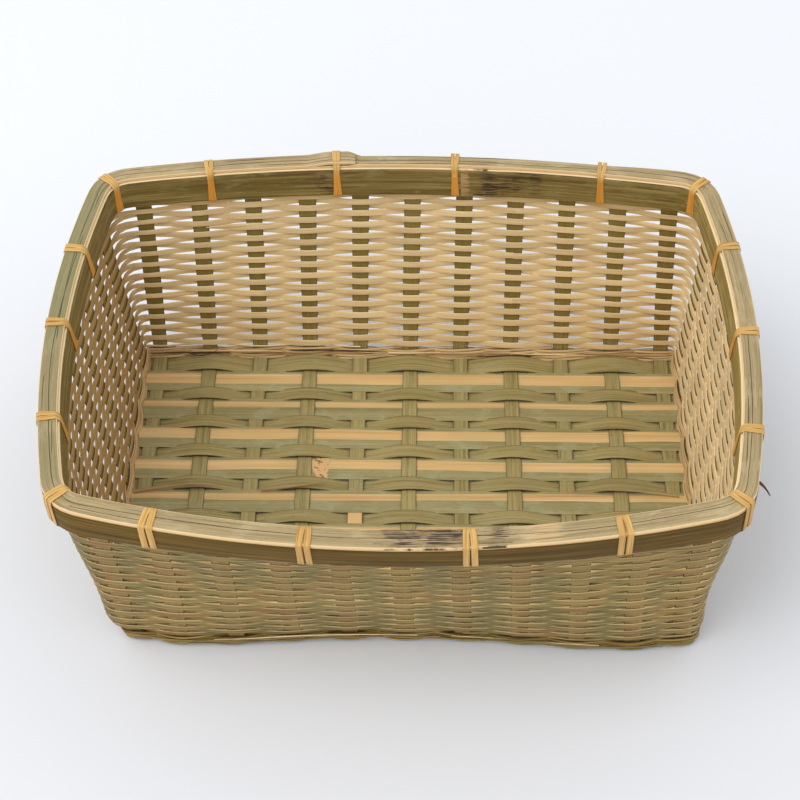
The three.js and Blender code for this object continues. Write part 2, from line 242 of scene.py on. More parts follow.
def ring_point(place, level):
    """A point of the ring, the direction along it, and outwards."""
    side, following, index = on_side(place)
    last = stake_place(side, side.count - 1, level)
    start = stake_place(following, 0, level)
    past = index - (side.count - 1)
    if past <= 0:
        return side_point(side, stake_place(side, index, level), level)
    if past < CORNER_ENTRY:
        entered = (side_edge(side, level) - last) * past / CORNER_ENTRY
        return side_point(side, last + entered, level)
    if past <= 1 - CORNER_ENTRY:
        return corner_point(side, (past - CORNER_ENTRY) / (1 - 2 * CORNER_ENTRY), level)
    left = (-side_edge(following, level) - start) * (1 - past) / CORNER_ENTRY
    return side_point(following, start + left, level)


def wall_section(place, low, high, offset, move=by_hand):
    """The middle, upward direction, height and outward direction of a band on the wall."""
    bottom, _, out = ring_point(place, low)
    top, _, out_top = ring_point(place, high)
    bottom = move(bottom + out * offset, low)
    top = move(top + out_top * offset, high)
    rise = top - bottom
    return (bottom + top) / 2, rise.normalized(), rise.length, out


def splint_section(place, height, width, offset):
    """The middle, upward direction and outward direction of a splint along the wall."""
    low, high = level_of(height - width / 2), level_of(height + width / 2)
    middle, rise, _, out = wall_section(place, low, high, offset, drifted)
    return middle, rise, out

# %% [markdown]
# Every piece of the basket is a strip that follows a path, so one Geometry Nodes tree makes them
# all. The path is a row of points. Each point carries the strip's directions and sizes as
# attributes. The tree lays a grid with one row for each point, reads the row's attributes with
# Sample Index, and bends the row into a rounded section. A curve with a bevel would be quicker,
# but it turns freely about its own line, and a woven strip has to stay flat on the wall.
# Node trees are long lists of sums, so a small class first lets them be written as arithmetic.

# %% Wires between nodes
class Wire:
    """What comes out of a node. Arithmetic on wires adds math nodes to their tree."""

    def __init__(self, socket):
        self.socket = socket

    def __add__(self, other):
        return combined("ADD", self, other)

    def __sub__(self, other):
        return combined("SUBTRACT", self, other)

    def __rsub__(self, other):
        return combined("SUBTRACT", other, self)

    def __mul__(self, other):
        return combined("MULTIPLY", self, other)

    def __truediv__(self, other):
        return combined("DIVIDE", self, other)

    def __rtruediv__(self, other):
        return combined("DIVIDE", other, self)

    def __abs__(self):
        return combined("ABSOLUTE", self)


def add(tree, kind, inputs=None, output=0, **settings):
    """Adds a node, sets its properties, fills its inputs, and returns one output's wire."""
    node = tree.nodes.new(kind)
    for name, value in settings.items():
        setattr(node, name, value)
    for key, value in (inputs or {}).items():
        if isinstance(value, Wire):
            tree.links.new(value.socket, node.inputs[key])
        else:
            node.inputs[key].default_value = value
    return Wire(node.outputs[output])


def combined(operation, *values):
    """A math node in the tree of the first wire among the values."""
    tree = next(value.socket.id_data for value in values if isinstance(value, Wire))
    return add(tree, "ShaderNodeMath", dict(enumerate(values)), operation=operation)

# %% The strip tree
MERGE_DISTANCE = 2e-6
STRIP_INPUTS = {
    "Section Points": 8,
    "Squareness": 0.3,
    "Crown": 0.0,
    "Ragged Edge": 0.04,
    "Ragged Length": 12.0,
    "Waviness": 0.1,
    "Sharp Angle": math.radians(50),
    "Seed": 0.0,
}


def strip_tree():
    tree = bpy.data.node_groups.new("Bamboo strip", "GeometryNodeTree")
    tree.is_modifier = True
    face = tree.interface
    face.new_socket("Path", in_out="INPUT", socket_type="NodeSocketGeometry")
    for name, value in STRIP_INPUTS.items():
        kind = "NodeSocketInt" if isinstance(value, int) else "NodeSocketFloat"
        face.new_socket(name, in_out="INPUT", socket_type=kind).default_value = value
    face.new_socket("Material", in_out="INPUT", socket_type="NodeSocketMaterial")
    face.new_socket("Strip", in_out="OUTPUT", socket_type="NodeSocketGeometry")
    given = {socket.name: Wire(socket) for socket in tree.nodes.new("NodeGroupInput").outputs}

    rows = add(tree, "GeometryNodeAttributeDomainSize", {"Geometry": given["Path"]}, "Point Count")
    columns = given["Section Points"] + 1.0
    told = add(tree, "GeometryNodeMeshGrid", {
        "Size X": 1.0, "Size Y": 1.0, "Vertices X": rows, "Vertices Y": columns}, "Mesh")
    index = add(tree, "GeometryNodeInputIndex")
    row = combined("FLOOR", (index + 0.5) / columns)
    angle = (index - row * columns + 0.5) / given["Section Points"] * (2 * math.pi)

    def read(name, kind="FLOAT"):
        value = add(tree, "GeometryNodeInputNamedAttribute", {"Name": name}, "Attribute",
                    data_type=kind)
        return add(tree, "GeometryNodeSampleIndex",
                   {"Geometry": given["Path"], "Index": row, "Value": value}, "Value",
                   data_type=kind, domain="POINT")

    def rounded(function):
        wave = combined(function, angle)
        return combined("SIGN", wave) * combined("POWER", abs(wave), given["Squareness"])

    def ragged(offset, depth):
        place = add(tree, "ShaderNodeCombineXYZ", {
            "X": run * (1000.0 / given["Ragged Length"]), "Y": given["Seed"] + offset, "Z": depth})
        return add(tree, "ShaderNodeTexNoise", {"Vector": place, "Scale": 1.0, "Detail": 2.0}) - 0.5

    def shifted(place, direction, distance):
        step = add(tree, "ShaderNodeVectorMath", {0: direction, "Scale": distance},
                   operation="SCALE")
        return add(tree, "ShaderNodeVectorMath", {0: place, 1: step}, operation="ADD")

    width, thickness, run, tone, mark = [
        read(name) for name in ("width", "thickness", "run", "tone", "mark")]
    a = rounded("COSINE")
    b = rounded("SINE")
    side_shift = a * (width * (ragged(0.0, a) * given["Ragged Edge"] + 0.5))
    crowned = b * (1.0 - a * a * given["Crown"])
    face_shift = (crowned * 0.5 + ragged(7.0, 0.0) * given["Waviness"]) * thickness
    place = shifted(read("position", "FLOAT_VECTOR"), read("across", "FLOAT_VECTOR"), side_shift)
    place = shifted(place, read("through", "FLOAT_VECTOR"), face_shift)

    grain = add(tree, "ShaderNodeCombineXYZ", {"X": run, "Y": side_shift, "Z": b})
    for name, kind, value in (("grain", "FLOAT_VECTOR", grain), ("edge", "FLOAT", a),
                              ("tone", "FLOAT", tone), ("mark", "FLOAT", mark)):
        told = add(tree, "GeometryNodeStoreNamedAttribute",
                   {"Geometry": told, "Name": name, "Value": value},
                   data_type=kind, domain="POINT")
    placed = add(tree, "GeometryNodeSetPosition", {"Geometry": told, "Position": place})
    closed = add(tree, "GeometryNodeMergeByDistance",
                 {"Geometry": placed, "Distance": MERGE_DISTANCE})
    soft = add(tree, "GeometryNodeSetShadeSmooth", {"Geometry": closed}, domain="FACE")
    bend = add(tree, "GeometryNodeInputMeshEdgeAngle", output="Unsigned Angle")
    gentle = add(tree, "FunctionNodeCompare", {0: bend, 1: given["Sharp Angle"]},
                 operation="LESS_THAN", data_type="FLOAT")
    edged = add(tree, "GeometryNodeSetShadeSmooth",
                {"Geometry": soft, "Shade Smooth": gentle}, domain="EDGE")
    real = add(tree, "GeometryNodeRealizeInstances", {"Geometry": edged})
    done = add(tree, "GeometryNodeSetMaterial",
               {"Geometry": real, "Material": given["Material"]})
    tree.links.new(done.socket, tree.nodes.new("NodeGroupOutput").inputs["Strip"])
    return tree


STRIP = strip_tree()
SOCKETS = {item.name: item.identifier for item in STRIP.interface.items_tree
           if item.in_out == "INPUT"}

# %% A path and its strip
TIP = 0.02


class Path:
    """Points in millimetres with the directions and sizes that the strip tree reads."""

    def __init__(self):
        self.rows = []

    def point(self, at, across, through, width, thickness, tone=0.5, mark=0.0):
        self.rows.append([at.copy(), across.copy(), through.copy(), width, thickness, tone, mark])

    def tapered(self):
        """The rows with a tiny one before the first and after the last, which closes the ends."""
        tips = [[*row[:3], row[3] * TIP, row[4] * TIP, *row[5:]]
                for row in (self.rows[0], self.rows[-1])]
        return [tips[0], *self.rows, tips[1]]


def finished_mesh(name, path, material, run_start=0.0, **sizes):
    """Runs the strip tree on a path and returns the plain closed mesh.
    The grain begins at run_start, in millimetres, so that no two strips have the same."""
    rows = path.tapered()
    places, across, through, widths, thicknesses, tones, marks = zip(*rows)
    runs = [run_start]
    for before, after in zip(places, places[1:]):
        runs.append(runs[-1] + (after - before).length)
    mesh = bpy.data.meshes.new(name)
    mesh.from_pydata([place * MM for place in places], [], [])
    for title, vectors in (("across", across), ("through", through)):
        data = mesh.attributes.new(title, "FLOAT_VECTOR", "POINT").data
        data.foreach_set("vector", [value for vector in vectors for value in vector])
    for title, unit, values in (("width", MM, widths), ("thickness", MM, thicknesses),
                                ("run", MM, runs), ("tone", 1, tones), ("mark", 1, marks)):
        data = mesh.attributes.new(title, "FLOAT", "POINT").data
        data.foreach_set("value", [value * unit for value in values])
    carrier = bpy.data.objects.new(name, mesh)
    bpy.context.collection.objects.link(carrier)
    modifier = carrier.modifiers.new("strip", "NODES")
    modifier.node_group = STRIP
    for title, value in {**sizes, "material": material}.items():
        modifier[SOCKETS[title.replace("_", " ").title()]] = value
    bpy.context.view_layer.update()
    seen = carrier.evaluated_get(bpy.context.evaluated_depsgraph_get())
    plain = bpy.data.meshes.new_from_object(seen)
    bpy.data.objects.remove(carrier)
    bpy.data.meshes.remove(mesh)
    work = bmesh.new()
    work.from_mesh(plain)
    if work.calc_volume(signed=True) < 0:
        bmesh.ops.reverse_faces(work, faces=work.faces)
        work.to_mesh(plain)
    work.free()
    return plain


def joined(meshes):
    """One mesh from several."""
    if len(meshes) == 1:
        return meshes[0]
    work = bmesh.new()
    for mesh in meshes:
        work.from_mesh(mesh)
    whole = meshes[0].copy()
    work.to_mesh(whole)
    work.free()
    return whole


piece_count = 0


def piece(name, meshes, nodes):
    """Puts finished meshes in the scene as one piece that stands for its nodes."""
    global piece_count
    mesh = joined(meshes)
    mesh.name = name
    made = bpy.data.objects.new(name, mesh)
    bpy.context.collection.objects.link(made)
    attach(made, "root")
    if nodes:
        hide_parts(*nodes)
    piece_count += 1

# %% [markdown]
# Bamboo's finish comes from its build: fibres run the whole length, the skin is glassy and green
# going to straw, and the wood below is pale cream to tan. A small class holds the nodes that all
# the materials share. They read the strip's own attributes, so the fibres follow each strip
# round every bend: grain holds the distance along, the distance across and the face, edge says
# how near the strip's edge a point is, and tone and mark come from the path. A colour is given
# as three screen values from 0 to 255. Most finishes are layers, and each layer names a value,
# where it begins, where it is full, how strong it is, and its colour. A photographed texture
# would stretch at the bends, so every mark is noise drawn out along the strip.

# %% Colours
CREAM = (246, 226, 182)
PALE_WOOD = (240, 216, 166)
TAN = (222, 190, 136)
PINK_TAN = (224, 184, 142)
OLIVE = (136, 122, 70)
STRAW = (182, 166, 108)
DARK_FIBRE = (84, 66, 34)
CRACK = (52, 38, 20)
MOULD = (46, 32, 18)
MOULD_HALO = (112, 80, 46)
CRACK_HALF_WIDTH = 0.2
CRACK_DRIFT = 4
BAMBOO_IOR = 1.45


def paint(red, green, blue):
    """A colour given in screen values, as the shader's linear ones."""
    def linear(value):
        share = value / 255
        return share / 12.92 if share <= 0.04045 else ((share + 0.055) / 1.055) ** 2.4
    return (linear(red), linear(green), linear(blue), 1.0)


class Look:
    """The nodes of one bamboo material."""

    def __init__(self, name):
        self.material = bpy.data.materials.new(name)
        self.material.use_nodes = True
        self.tree = self.material.node_tree
        self.shader = self.tree.nodes["Principled BSDF"]
        self.shader.inputs["IOR"].default_value = BAMBOO_IOR
        self.place = add(self.tree, "ShaderNodeTexCoord", output="Object")
        grain, self.edge, self.tone, self.mark = [
            add(self.tree, "ShaderNodeAttribute", output=output, attribute_name=title)
            for title, output in (("grain", "Vector"), ("edge", "Fac"), ("tone", "Fac"),
                                  ("mark", "Fac"))]
        self.run, self.across, self.face = [
            add(self.tree, "ShaderNodeSeparateXYZ", {0: grain}, axis) for axis in "XYZ"]

    def noise(self, place, scale, detail):
        return add(self.tree, "ShaderNodeTexNoise",
                   {"Vector": place, "Scale": scale, "Detail": detail})

    def streaks(self, along, across, offset=0.0, detail=3.0):
        """Noise drawn out along the fibres: sizes of its marks in millimetres."""
        place = add(self.tree, "ShaderNodeCombineXYZ", {
            "X": self.run * (1000 / along), "Y": self.across * (1000 / across),
            "Z": self.tone * 3.0 + offset})
        return self.noise(place, 1.0, detail)

    def patches(self, size, offset=0.0, detail=2.0):
        """Noise in the object's own space, size in millimetres."""
        moved = add(self.tree, "ShaderNodeMapping",
                    {"Vector": self.place, "Location": (offset, offset, offset)})
        return self.noise(moved, 1000 / size, detail)

    def between(self, value, low, high, most=1.0):
        """0 below low, most above high, and smooth in between."""
        return add(self.tree, "ShaderNodeMapRange", {
            "Value": value, "From Min": low, "From Max": high, "To Max": most,
        }, interpolation_type="SMOOTHSTEP")

    def crack(self, middle, offset, rare):
        """1 along a thin split that wanders about a line at the given millimetres across."""
        wave = self.streaks(90, 900, offset, 1.0) - 0.5
        fine = self.streaks(9, 900, offset + 5, 1.0) - 0.5
        course = wave * (CRACK_DRIFT * MM) + fine * (0.5 * MM) + middle * MM
        split = 1.0 - self.between(abs(self.across - course), 0.4 * CRACK_HALF_WIDTH * MM,
                                   CRACK_HALF_WIDTH * MM)
        return split * self.between(self.streaks(80, 900, offset + 9, 1.0), rare, rare + 0.04)

    def mix(self, factor, a, b, blend="MIX"):
        a, b = [paint(*color) if isinstance(color, tuple) else color for color in (a, b)]
        return add(self.tree, "ShaderNodeMix", {0: factor, 6: a, 7: b}, 2, data_type="RGBA",
                   blend_type=blend)

    def layered(self, color, *layers):
        """Lays colours over one another, each where its own value says."""
        for value, low, high, most, layer in layers:
            color = self.mix(self.between(value, low, high, most), color, layer)
        return color

    def graded(self, value, *colors):
        """A colour that runs through several as the value goes from 0.3 to 0.7."""
        step = 0.4 / (len(colors) - 1)
        return self.layered(colors[0], *[
            (value, 0.3 + step * i, 0.3 + step * (i + 1), 1.0, color)
            for i, color in enumerate(colors[1:])])

    def darkened(self, color, red, green, blue):
        """The colour multiplied by three shares, which are numbers or wires."""
        shares = add(self.tree, "ShaderNodeCombineColor", {0: red, 1: green, 2: blue})
        return self.mix(1.0, color, shares, "MULTIPLY")

    def toned(self, color, strength, lowest=-1.0):
        """Makes the colour darker or lighter with the strip's tone."""
        bright = combined("MAXIMUM", self.tone, lowest) * strength + (1 - strength / 2)
        return self.darkened(color, bright, bright, bright)

    def finish(self, color, height, depth, rough_low, rough_high, gloss=0.5):
        """Links the colour, a bump of the given depth in millimetres, and the roughness."""
        self.shader.inputs["Specular IOR Level"].default_value = gloss
        bump = add(self.tree, "ShaderNodeBump",
                   {"Height": height, "Distance": depth * MM, "Strength": 1.0})
        rough = add(self.tree, "ShaderNodeMapRange",
                    {"Value": height, "To Min": rough_low, "To Max": rough_high})
        for title, wire in (("Base Color", color), ("Normal", bump), ("Roughness", rough)):
            self.tree.links.new(wire.socket, self.shader.inputs[title])
        return self.material

# %% [markdown]
# Stakes and hoops keep their skin. The skin has a fine grain and a few dark flecks, the cut
# faces are pale, and where the two meet there is a lighter line. Old skin splits along the
# fibres. Where damp got in it has black spots of mould, and in one place it has peeled.

# %% Skin-faced strips
def skin_strip(name, skins, woods, skin_face=1, edge_color=PALE_WOOD, edges=(0.97, 0.985),
               grain=0.28, cracks=(), painted_wall_shade=None, bare=PALE_WOOD, bloom=STRAW,
               weathered=None, gloss=0.5):
    """The mark attribute is mould where it is above 0, and bare wood where it is below 0.
    A stake has no mould: above 0 its mark says how far it has climbed into the wall, and there its
    skin is darkened towards the painted wall shade, as painted shade of the weave."""
    look = Look(name)
    broad = look.streaks(70, 1.8, 5.0)
    bands = look.streaks(160, 1.1, 41.0, 4.0)
    fibres = look.streaks(40, grain, 1.0)
    mottled = look.streaks(9, 1.6, 61.0, 4.0) * 0.5 + look.patches(16, 3.0) * 0.5
    skin = look.layered(look.graded(broad, *skins),
                        (bands, 0.5, 0.7, 0.55, skins[-1]),
                        (bands, 0.5, 0.28, 0.3, DARK_FIBRE),
                        (mottled, 0.5, 0.64, 0.6, bloom),
                        (fibres, 0.52, 0.75, 0.5, DARK_FIBRE),
                        (look.streaks(2.2, 0.35, 11.0, 1.0), 0.66, 0.74, 0.55, DARK_FIBRE))
    # stakes only: the mark darkens the skin towards the painted wall shade, which is painted shade
    # of the weave, and below 0 it lays a patch of bare wood
    if painted_wall_shade:
        patch = look.streaks(6, 0.8, 91.0) * 0.8 + look.mark
        skin = look.layered(look.mix(look.mark * 0.75, skin, painted_wall_shade),
                            (patch, 0.1, -0.05, 1.0,
                             look.layered(bare, (fibres, 0.5, 0.7, 0.6, TAN))))
    if weathered:
        skin = look.layered(skin, (look.tone, 0.35, 0.0, 0.7, weathered))
    wood = look.layered(look.graded(broad, *woods), (fibres, 0.55, 0.8, 0.35, DARK_FIBRE))
    color = look.layered(wood, (look.face * skin_face, 0.1, 0.5, 1.0, skin))
    color = look.layered(look.toned(color, 0.5), (abs(look.edge), *edges, 1.0, edge_color))
    height = bands * 0.5 + fibres * 0.5
    for number, (middle, rare) in enumerate(cracks):
        split = look.crack(middle, 50.0 + 20 * number, rare)
        color = look.mix(split, color, CRACK)
        height = height - split
    if not painted_wall_shade:
        spots = look.streaks(8, 0.5, 17.0, 5.0) * 0.5 + look.patches(14, 8.0, 4.0) * 0.5
        clean = look.between(look.streaks(24, 0.3, 19.0, 2.0), 0.46, 0.6, 0.13)
        over = spots - (look.mark * -0.15 + 0.61 + clean)
        halo = look.between(over, -0.05, 0.01, 0.45) * look.between(look.mark, 0.0, 0.3)
        stained = look.between(over, 0.0, 0.04, 0.9) * look.between(look.mark, 0.0, 0.15)
        peel = look.streaks(22, 0.5, 77.0, 4.0) * 0.9 + look.mark * -0.24
        peeled = look.between(peel, 0.6, 0.72, 0.75) * look.between(look.mark, -0.02, -0.3)
        color = look.mix(halo, color, MOULD_HALO)
        color = look.mix(stained, color, MOULD)
        color = look.mix(peeled, color, look.layered(bare, (fibres, 0.5, 0.7, 1.0, TAN)))
    return look.finish(color, height, 0.25, 0.42, 0.67, gloss)


STAKE_LOOK = skin_strip(
    "bamboo_stake", ((141, 127, 71), (159, 145, 91), (178, 159, 105)),
    # the dark edge line is partly the stakes' own brown edges and partly painted shade of the gaps
    # beside the crossings
    ((160, 136, 84), (144, 116, 70)), edge_color=(88, 70, 32), edges=(0.88, 0.97),
    # painted shade of the weave, for the parts of the stakes that stand in the wall
    painted_wall_shade=(124, 102, 34), bare=(224, 180, 120), bloom=(164, 156, 112))
HOOP_LOOK = skin_strip(
    "bamboo_outer_hoop", ((82, 60, 16), (96, 74, 24), (138, 106, 44)), (PALE_WOOD, TAN),
    edge_color=(232, 192, 138), edges=(0.955, 0.978), grain=0.4,
    cracks=((-2.5, 0.54), (4.5, 0.58)), bare=(158, 126, 76), bloom=(100, 78, 32), gloss=0.15)
INNER_HOOP_LOOK = skin_strip(
    "bamboo_inner_hoop", ((98, 78, 30), (122, 102, 48), (156, 138, 78)), (PALE_WOOD, TAN),
    skin_face=-1, edge_color=(246, 222, 176), bare=(200, 156, 112), bloom=(150, 136, 86))
COVER_LOOK = skin_strip(
    "bamboo_cover", ((156, 136, 92), (172, 150, 106), (188, 166, 120)), (TAN, PALE_WOOD),
    edge_color=(236, 204, 152), edges=(0.91, 0.96), grain=0.45,
    cracks=((-0.6, 0.42), (-2.4, 0.54), (2.4, 0.6)), bare=(224, 184, 132),
    bloom=(196, 178, 136), weathered=(150, 148, 98))

# %% [markdown]
# A weaver is so thin that its skin shows only on the outside of the basket, and only where it
# lies flat between two stakes. Its top cut edge is pale wood, painted lighter still as a cream
# highlight, and on the outside its lower edge is painted darker as shadow. Many
# weavers have split lengthways, which draws a second pair of lines along their middle.

# %% Weavers, twining, battens and lashings
def weaver_look():
    look = Look("bamboo_weaver")
    broad = look.streaks(60, 1.2, 5.0)
    fibres = look.streaks(25, 0.25, 1.0)
    facing = look.between(look.face, -0.1, 0.5)
    inside = look.layered(look.graded(broad, PALE_WOOD, (236, 208, 156), TAN),
                          (look.patches(22, 4.0), 0.55, 0.75, 0.45, PINK_TAN))
    outside = look.graded(look.streaks(45, 0.8, 27.0, 4.0), (172, 148, 84), (145, 123, 64),
                          (154, 131, 70), (116, 84, 40))
    outside = look.layered(outside, (look.streaks(70, 9, 33.0), 0.52, 0.62, 0.55, (142, 88, 46)))
    green = look.between(look.mark, 0.0, 0.7, 0.85)
    green = green * look.between(look.patches(34, 9.0, 3.0), 0.4, 0.54)
    skin = look.graded(look.streaks(30, 1.4, 21.0), (98, 93, 46), (118, 112, 60), (144, 134, 78))
    color = look.mix(facing, inside, look.mix(green, outside, skin))
    # the top cut edge: pale cut wood, painted lighter as a highlight from above
    cut_and_highlight = look.mix(facing, CREAM, (206, 174, 116))
    color = look.layered(color, (look.edge, 0.88, 0.96, 1.0, cut_and_highlight))
    # painted shadow along the lower edge of each weaver on the outside
    color = look.mix(look.between(look.edge, -0.5, -0.95, 0.55) * facing, color, (98, 66, 32))
    halved = look.between(look.streaks(45, 1.5, 51.0), 0.4, 0.5) * facing
    for middle, strength, shade in ((0.02, 0.6, (98, 70, 34)), (-0.24, 0.5, (206, 174, 116))):
        line = look.between(abs(look.edge - middle), 0.18, 0.06, strength)
        color = look.mix(line * halved, color, shade)
    color = look.layered(color, (fibres, 0.52, 0.78, 0.5, (150, 112, 60)))
    # painted shade: where the tone is below 0, on the left wall, the colour darkens, most on the
    # inside
    side_shade = look.between(look.tone, 0.0, -1.6) * (facing * -0.7 + 1.0)
    color = look.mix(side_shade, color, look.darkened(color, 0.66, 0.54, 0.38))
    return look.finish(look.toned(color, 0.45, 0.2), broad * 0.5 + fibres * 0.5, 0.15, 0.5, 0.7)


def batten_look():
    look = Look("bamboo_batten")
    broad = look.streaks(120, 2.2, 5.0)
    fibres = look.streaks(60, 0.3, 1.0)
    planed = look.layered(look.graded(broad, (232, 200, 142), (222, 186, 126), (208, 164, 104)),
                          (fibres, 0.48, 0.72, 0.45, (182, 132, 78)),
                          (look.patches(60, 12.0), 0.5, 0.68, 0.5, (200, 172, 108)))
    skin = look.layered(look.graded(broad, (142, 134, 84), (158, 148, 100), (178, 162, 112)),
                        (look.patches(12, 6.0, 4.0), 0.48, 0.66, 0.6, (170, 166, 126)),
                        (look.streaks(5, 0.7, 9.0), 0.5, 0.7, 0.45, OLIVE))
    across = look.across + (look.streaks(80, 40, 3.0, 1.0) - 0.5) * (4 * MM)
    band = look.between(across + look.tone * (8 * MM), 1.7 * MM, 2.2 * MM)
    band = band * (1.0 - look.between(across, 5.3 * MM, 5.9 * MM))
    color = look.mix(band * look.between(look.face, 0.0, 0.3), skin, planed)
    ragged = look.patches(6, 21.0) * 0.9 - 0.45 + abs(look.edge) * -0.3
    knot = look.layered((222, 178, 120), (look.patches(2.6, 5.0), 0.54, 0.64, 0.8, DARK_FIBRE))
    color = look.layered(color, (look.mark + ragged, 0.3, 0.42, 1.0, knot))
    return look.finish(look.toned(color, 0.15), broad * 0.5 + fibres * 0.5, 0.3, 0.45, 0.65)


def twine_look():
    look = Look("bamboo_twine")
    broad = look.streaks(30, 0.9, 5.0)
    fibres = look.streaks(18, 0.22, 1.0)
    skin = look.graded(broad, (122, 98, 32), (146, 122, 52), (184, 156, 90))
    color = look.layered(look.graded(broad, (222, 186, 136), TAN, (176, 130, 84)),
                         (look.face, -0.3, 0.3, 1.0, skin),
                         # the dark edges of each splint are painted shade between the splints
                         (abs(look.edge), 0.6, 0.95, 0.85, (76, 54, 18)),
                         (fibres, 0.52, 0.75, 0.55, DARK_FIBRE))
    return look.finish(look.toned(color, 0.7), broad * 0.4 + fibres * 0.6, 0.2, 0.42, 0.65)


def plain_strip(name, colors, tone, rough, inner_shade=None):
    """A strip that is much the same on both faces: a lashing or a loose splinter."""
    look = Look(name)
    broad = look.streaks(25, 0.8, 5.0)
    fibres = look.streaks(15, 0.2, 1.0)
    color = look.layered(look.graded(broad, *colors), (fibres, 0.5, 0.78, 0.4, colors[-1]),
                         (abs(look.edge), 0.8, 1.0, 0.35, colors[-1]))
    # painted shade: a lashing darkens to deep orange where it lies on the inner hoop's face
    if inner_shade:
        color = look.mix(look.mark * 0.7, color, inner_shade)
    return look.finish(look.toned(color, tone), broad * 0.4 + fibres * 0.6, 0.15, rough,
                       rough + 0.25)


WEAVER_LOOK = weaver_look()
BATTEN_LOOK = batten_look()
TWINE_LOOK = twine_look()
# the last colour is painted shade for the turns on the inner hoop's face
LASHING_LOOK = plain_strip("golden_cane", ((222, 186, 116), (208, 164, 90), (180, 124, 50)),
                           0.35, 0.4, (218, 142, 40))
PALE_SPLINTER_LOOK = plain_strip("pale_splinter", (CREAM, PALE_WOOD, TAN), 0.2, 0.6)
TAN_SPLINTER_LOOK = plain_strip("tan_splinter", ((190, 162, 108), (166, 136, 84), (132, 100, 56)),
                                0.2, 0.6)
DARK_SPLINTER_LOOK = plain_strip("dark_splinter", ((120, 84, 48), (92, 62, 34), (64, 42, 24)),
                                 0.3, 0.7)

# %% [markdown]
# Stakes are the bones of the basket. Each is one long strip that crosses the floor and turns up
# at both ends to stand in the walls. On the floor it snakes over and under the strips that cross
# it, so its height there is drawn as a smooth wave through the heights of the crossings.

# %% Heights of the floor weave
STAKE_THICKNESS = 0.8
STAKE_SPREAD = 0.12
STAKE_UNEVENNESS = 0.08
STAKE_WANDER = 0.6
STAKE_TONES = 0.35
STAKE_TOP = RIM_HEIGHT - 0.3
LEG_STEPS = 16
LONG_WIDTH = 8.7
CROSS_WIDTH = 9.3
OUTER_CROSS_WIDTH = 13.4
OUTER_CROSS_SHIFT = 2.5
BATTEN_LIFT = 1.6
CROSS_LIFT = 2.16
BEND_RADIUS = 3
LONG_PLACES = [(i - (LONG_STAKES - 1) / 2) * LONG_PITCH for i in range(LONG_STAKES)]
CROSS_PLACES = [(i - (CROSS_STAKES - 1) / 2) * CROSS_PITCH for i in range(CROSS_STAKES)]
BATTEN_PLACES = [place + CROSS_PITCH / 2 for place in CROSS_PLACES[:-1]]
# places along Y, in millimetres, where the skin has come off a long stake
BARE_PATCHES = {"long_stake_04": (-34, -23), "long_stake_05": (-27, -19)}


def smooth_heights(crossings, step):
    """Points along the floor between crossings, each a distance and a height."""
    found = []
    for (start, low), (end, high) in zip(crossings, crossings[1:]):
        count = max(2, round((end - start) / step))
        for share in [i / count for i in range(count)]:
            ease = (1 - math.cos(math.pi * share)) / 2
            found.append((start + (end - start) * share, low + (high - low) * ease))
    return [*found, crossings[-1]]


def stake_leg(side, index, seed):
    """The part of a stake in the wall, from the floor's edge up to the rim."""
    low, high = level_of(FLOOR_LEVEL + BEND_RADIUS), level_of(STAKE_TOP)
    rows = []
    for i in range(LEG_STEPS + 1):
        level = low + (high - low) * i / LEG_STEPS
        place = stake_place(side, index, level) + STAKE_WANDER * wander(level * 2, seed) * level
        point, along, out = side_point(side, place, level)
        rows.append((drifted(point, level), along, -out))
    return rows


def bend(a, b, corner):
    """Three rows round the bend from one row to another, one on the floor and one on a leg."""
    for share in (0.25, 0.5, 0.75):
        point = a[0] * (1 - share) ** 2 + corner * 2 * share * (1 - share) + b[0] * share**2
        yield point, a[1], a[2] * (1 - share) + b[2] * share


def make_stake(name, start_side, end_side, index, width, crossings, point_of, seed, run_start):
    down = [(p, -a, t) for p, a, t in
            reversed(stake_leg(start_side, start_side.count - 1 - index, seed))]
    up = stake_leg(end_side, index, seed + 50)
    floor = []
    for run, height in smooth_heights(crossings, 3):
        point = point_of(run)
        point.z = FLOOR_LEVEL + height
        floor.append((drifted(point, 0), up[0][1], Vector((0, 0, 1))))
    corners = [Vector((foot[0].x, foot[0].y, end[0].z)) for foot, end in
               ((down[-1], floor[0]), (up[0], floor[-1]))]
    rows = [*down, *bend(down[-1], floor[0], corners[0]), *floor,
            *bend(floor[-1], up[0], corners[1]), *up]
    path = Path()
    bare_low, bare_high = BARE_PATCHES.get(name, (0, 0))
    tone = 0.5 + STAKE_TONES * wander(seed * 3.7, 1)
    for i, (point, across, through) in enumerate(rows):
        run = (rows[min(i + 1, len(rows) - 1)][0] - rows[max(i - 1, 0)][0]).normalized()
        normal = run.cross(across)
        if normal.dot(through) < 0:
            normal = -normal
        climbed = max(0.0, min(1.0, level_of(point.z)))
        grow = 1 + STAKE_SPREAD * min(1, climbed * 3)
        grow += STAKE_UNEVENNESS * wander(i * 0.15, seed, 9)
        bare = climbed == 0 and bare_low < point.y < bare_high
        # in the wall the mark is 1, and the stake's skin is painted darker there as shade of the
        # weave
        path.point(point, across.normalized(), normal.normalized(), width * grow,
                   STAKE_THICKNESS, tone, -1 if bare else min(1, climbed * 6))
    mesh = finished_mesh(name, path, STAKE_LOOK, run_start, crown=0.2, seed=float(seed))
    piece(name.replace("stake", "strip_stake"), [mesh], [name])

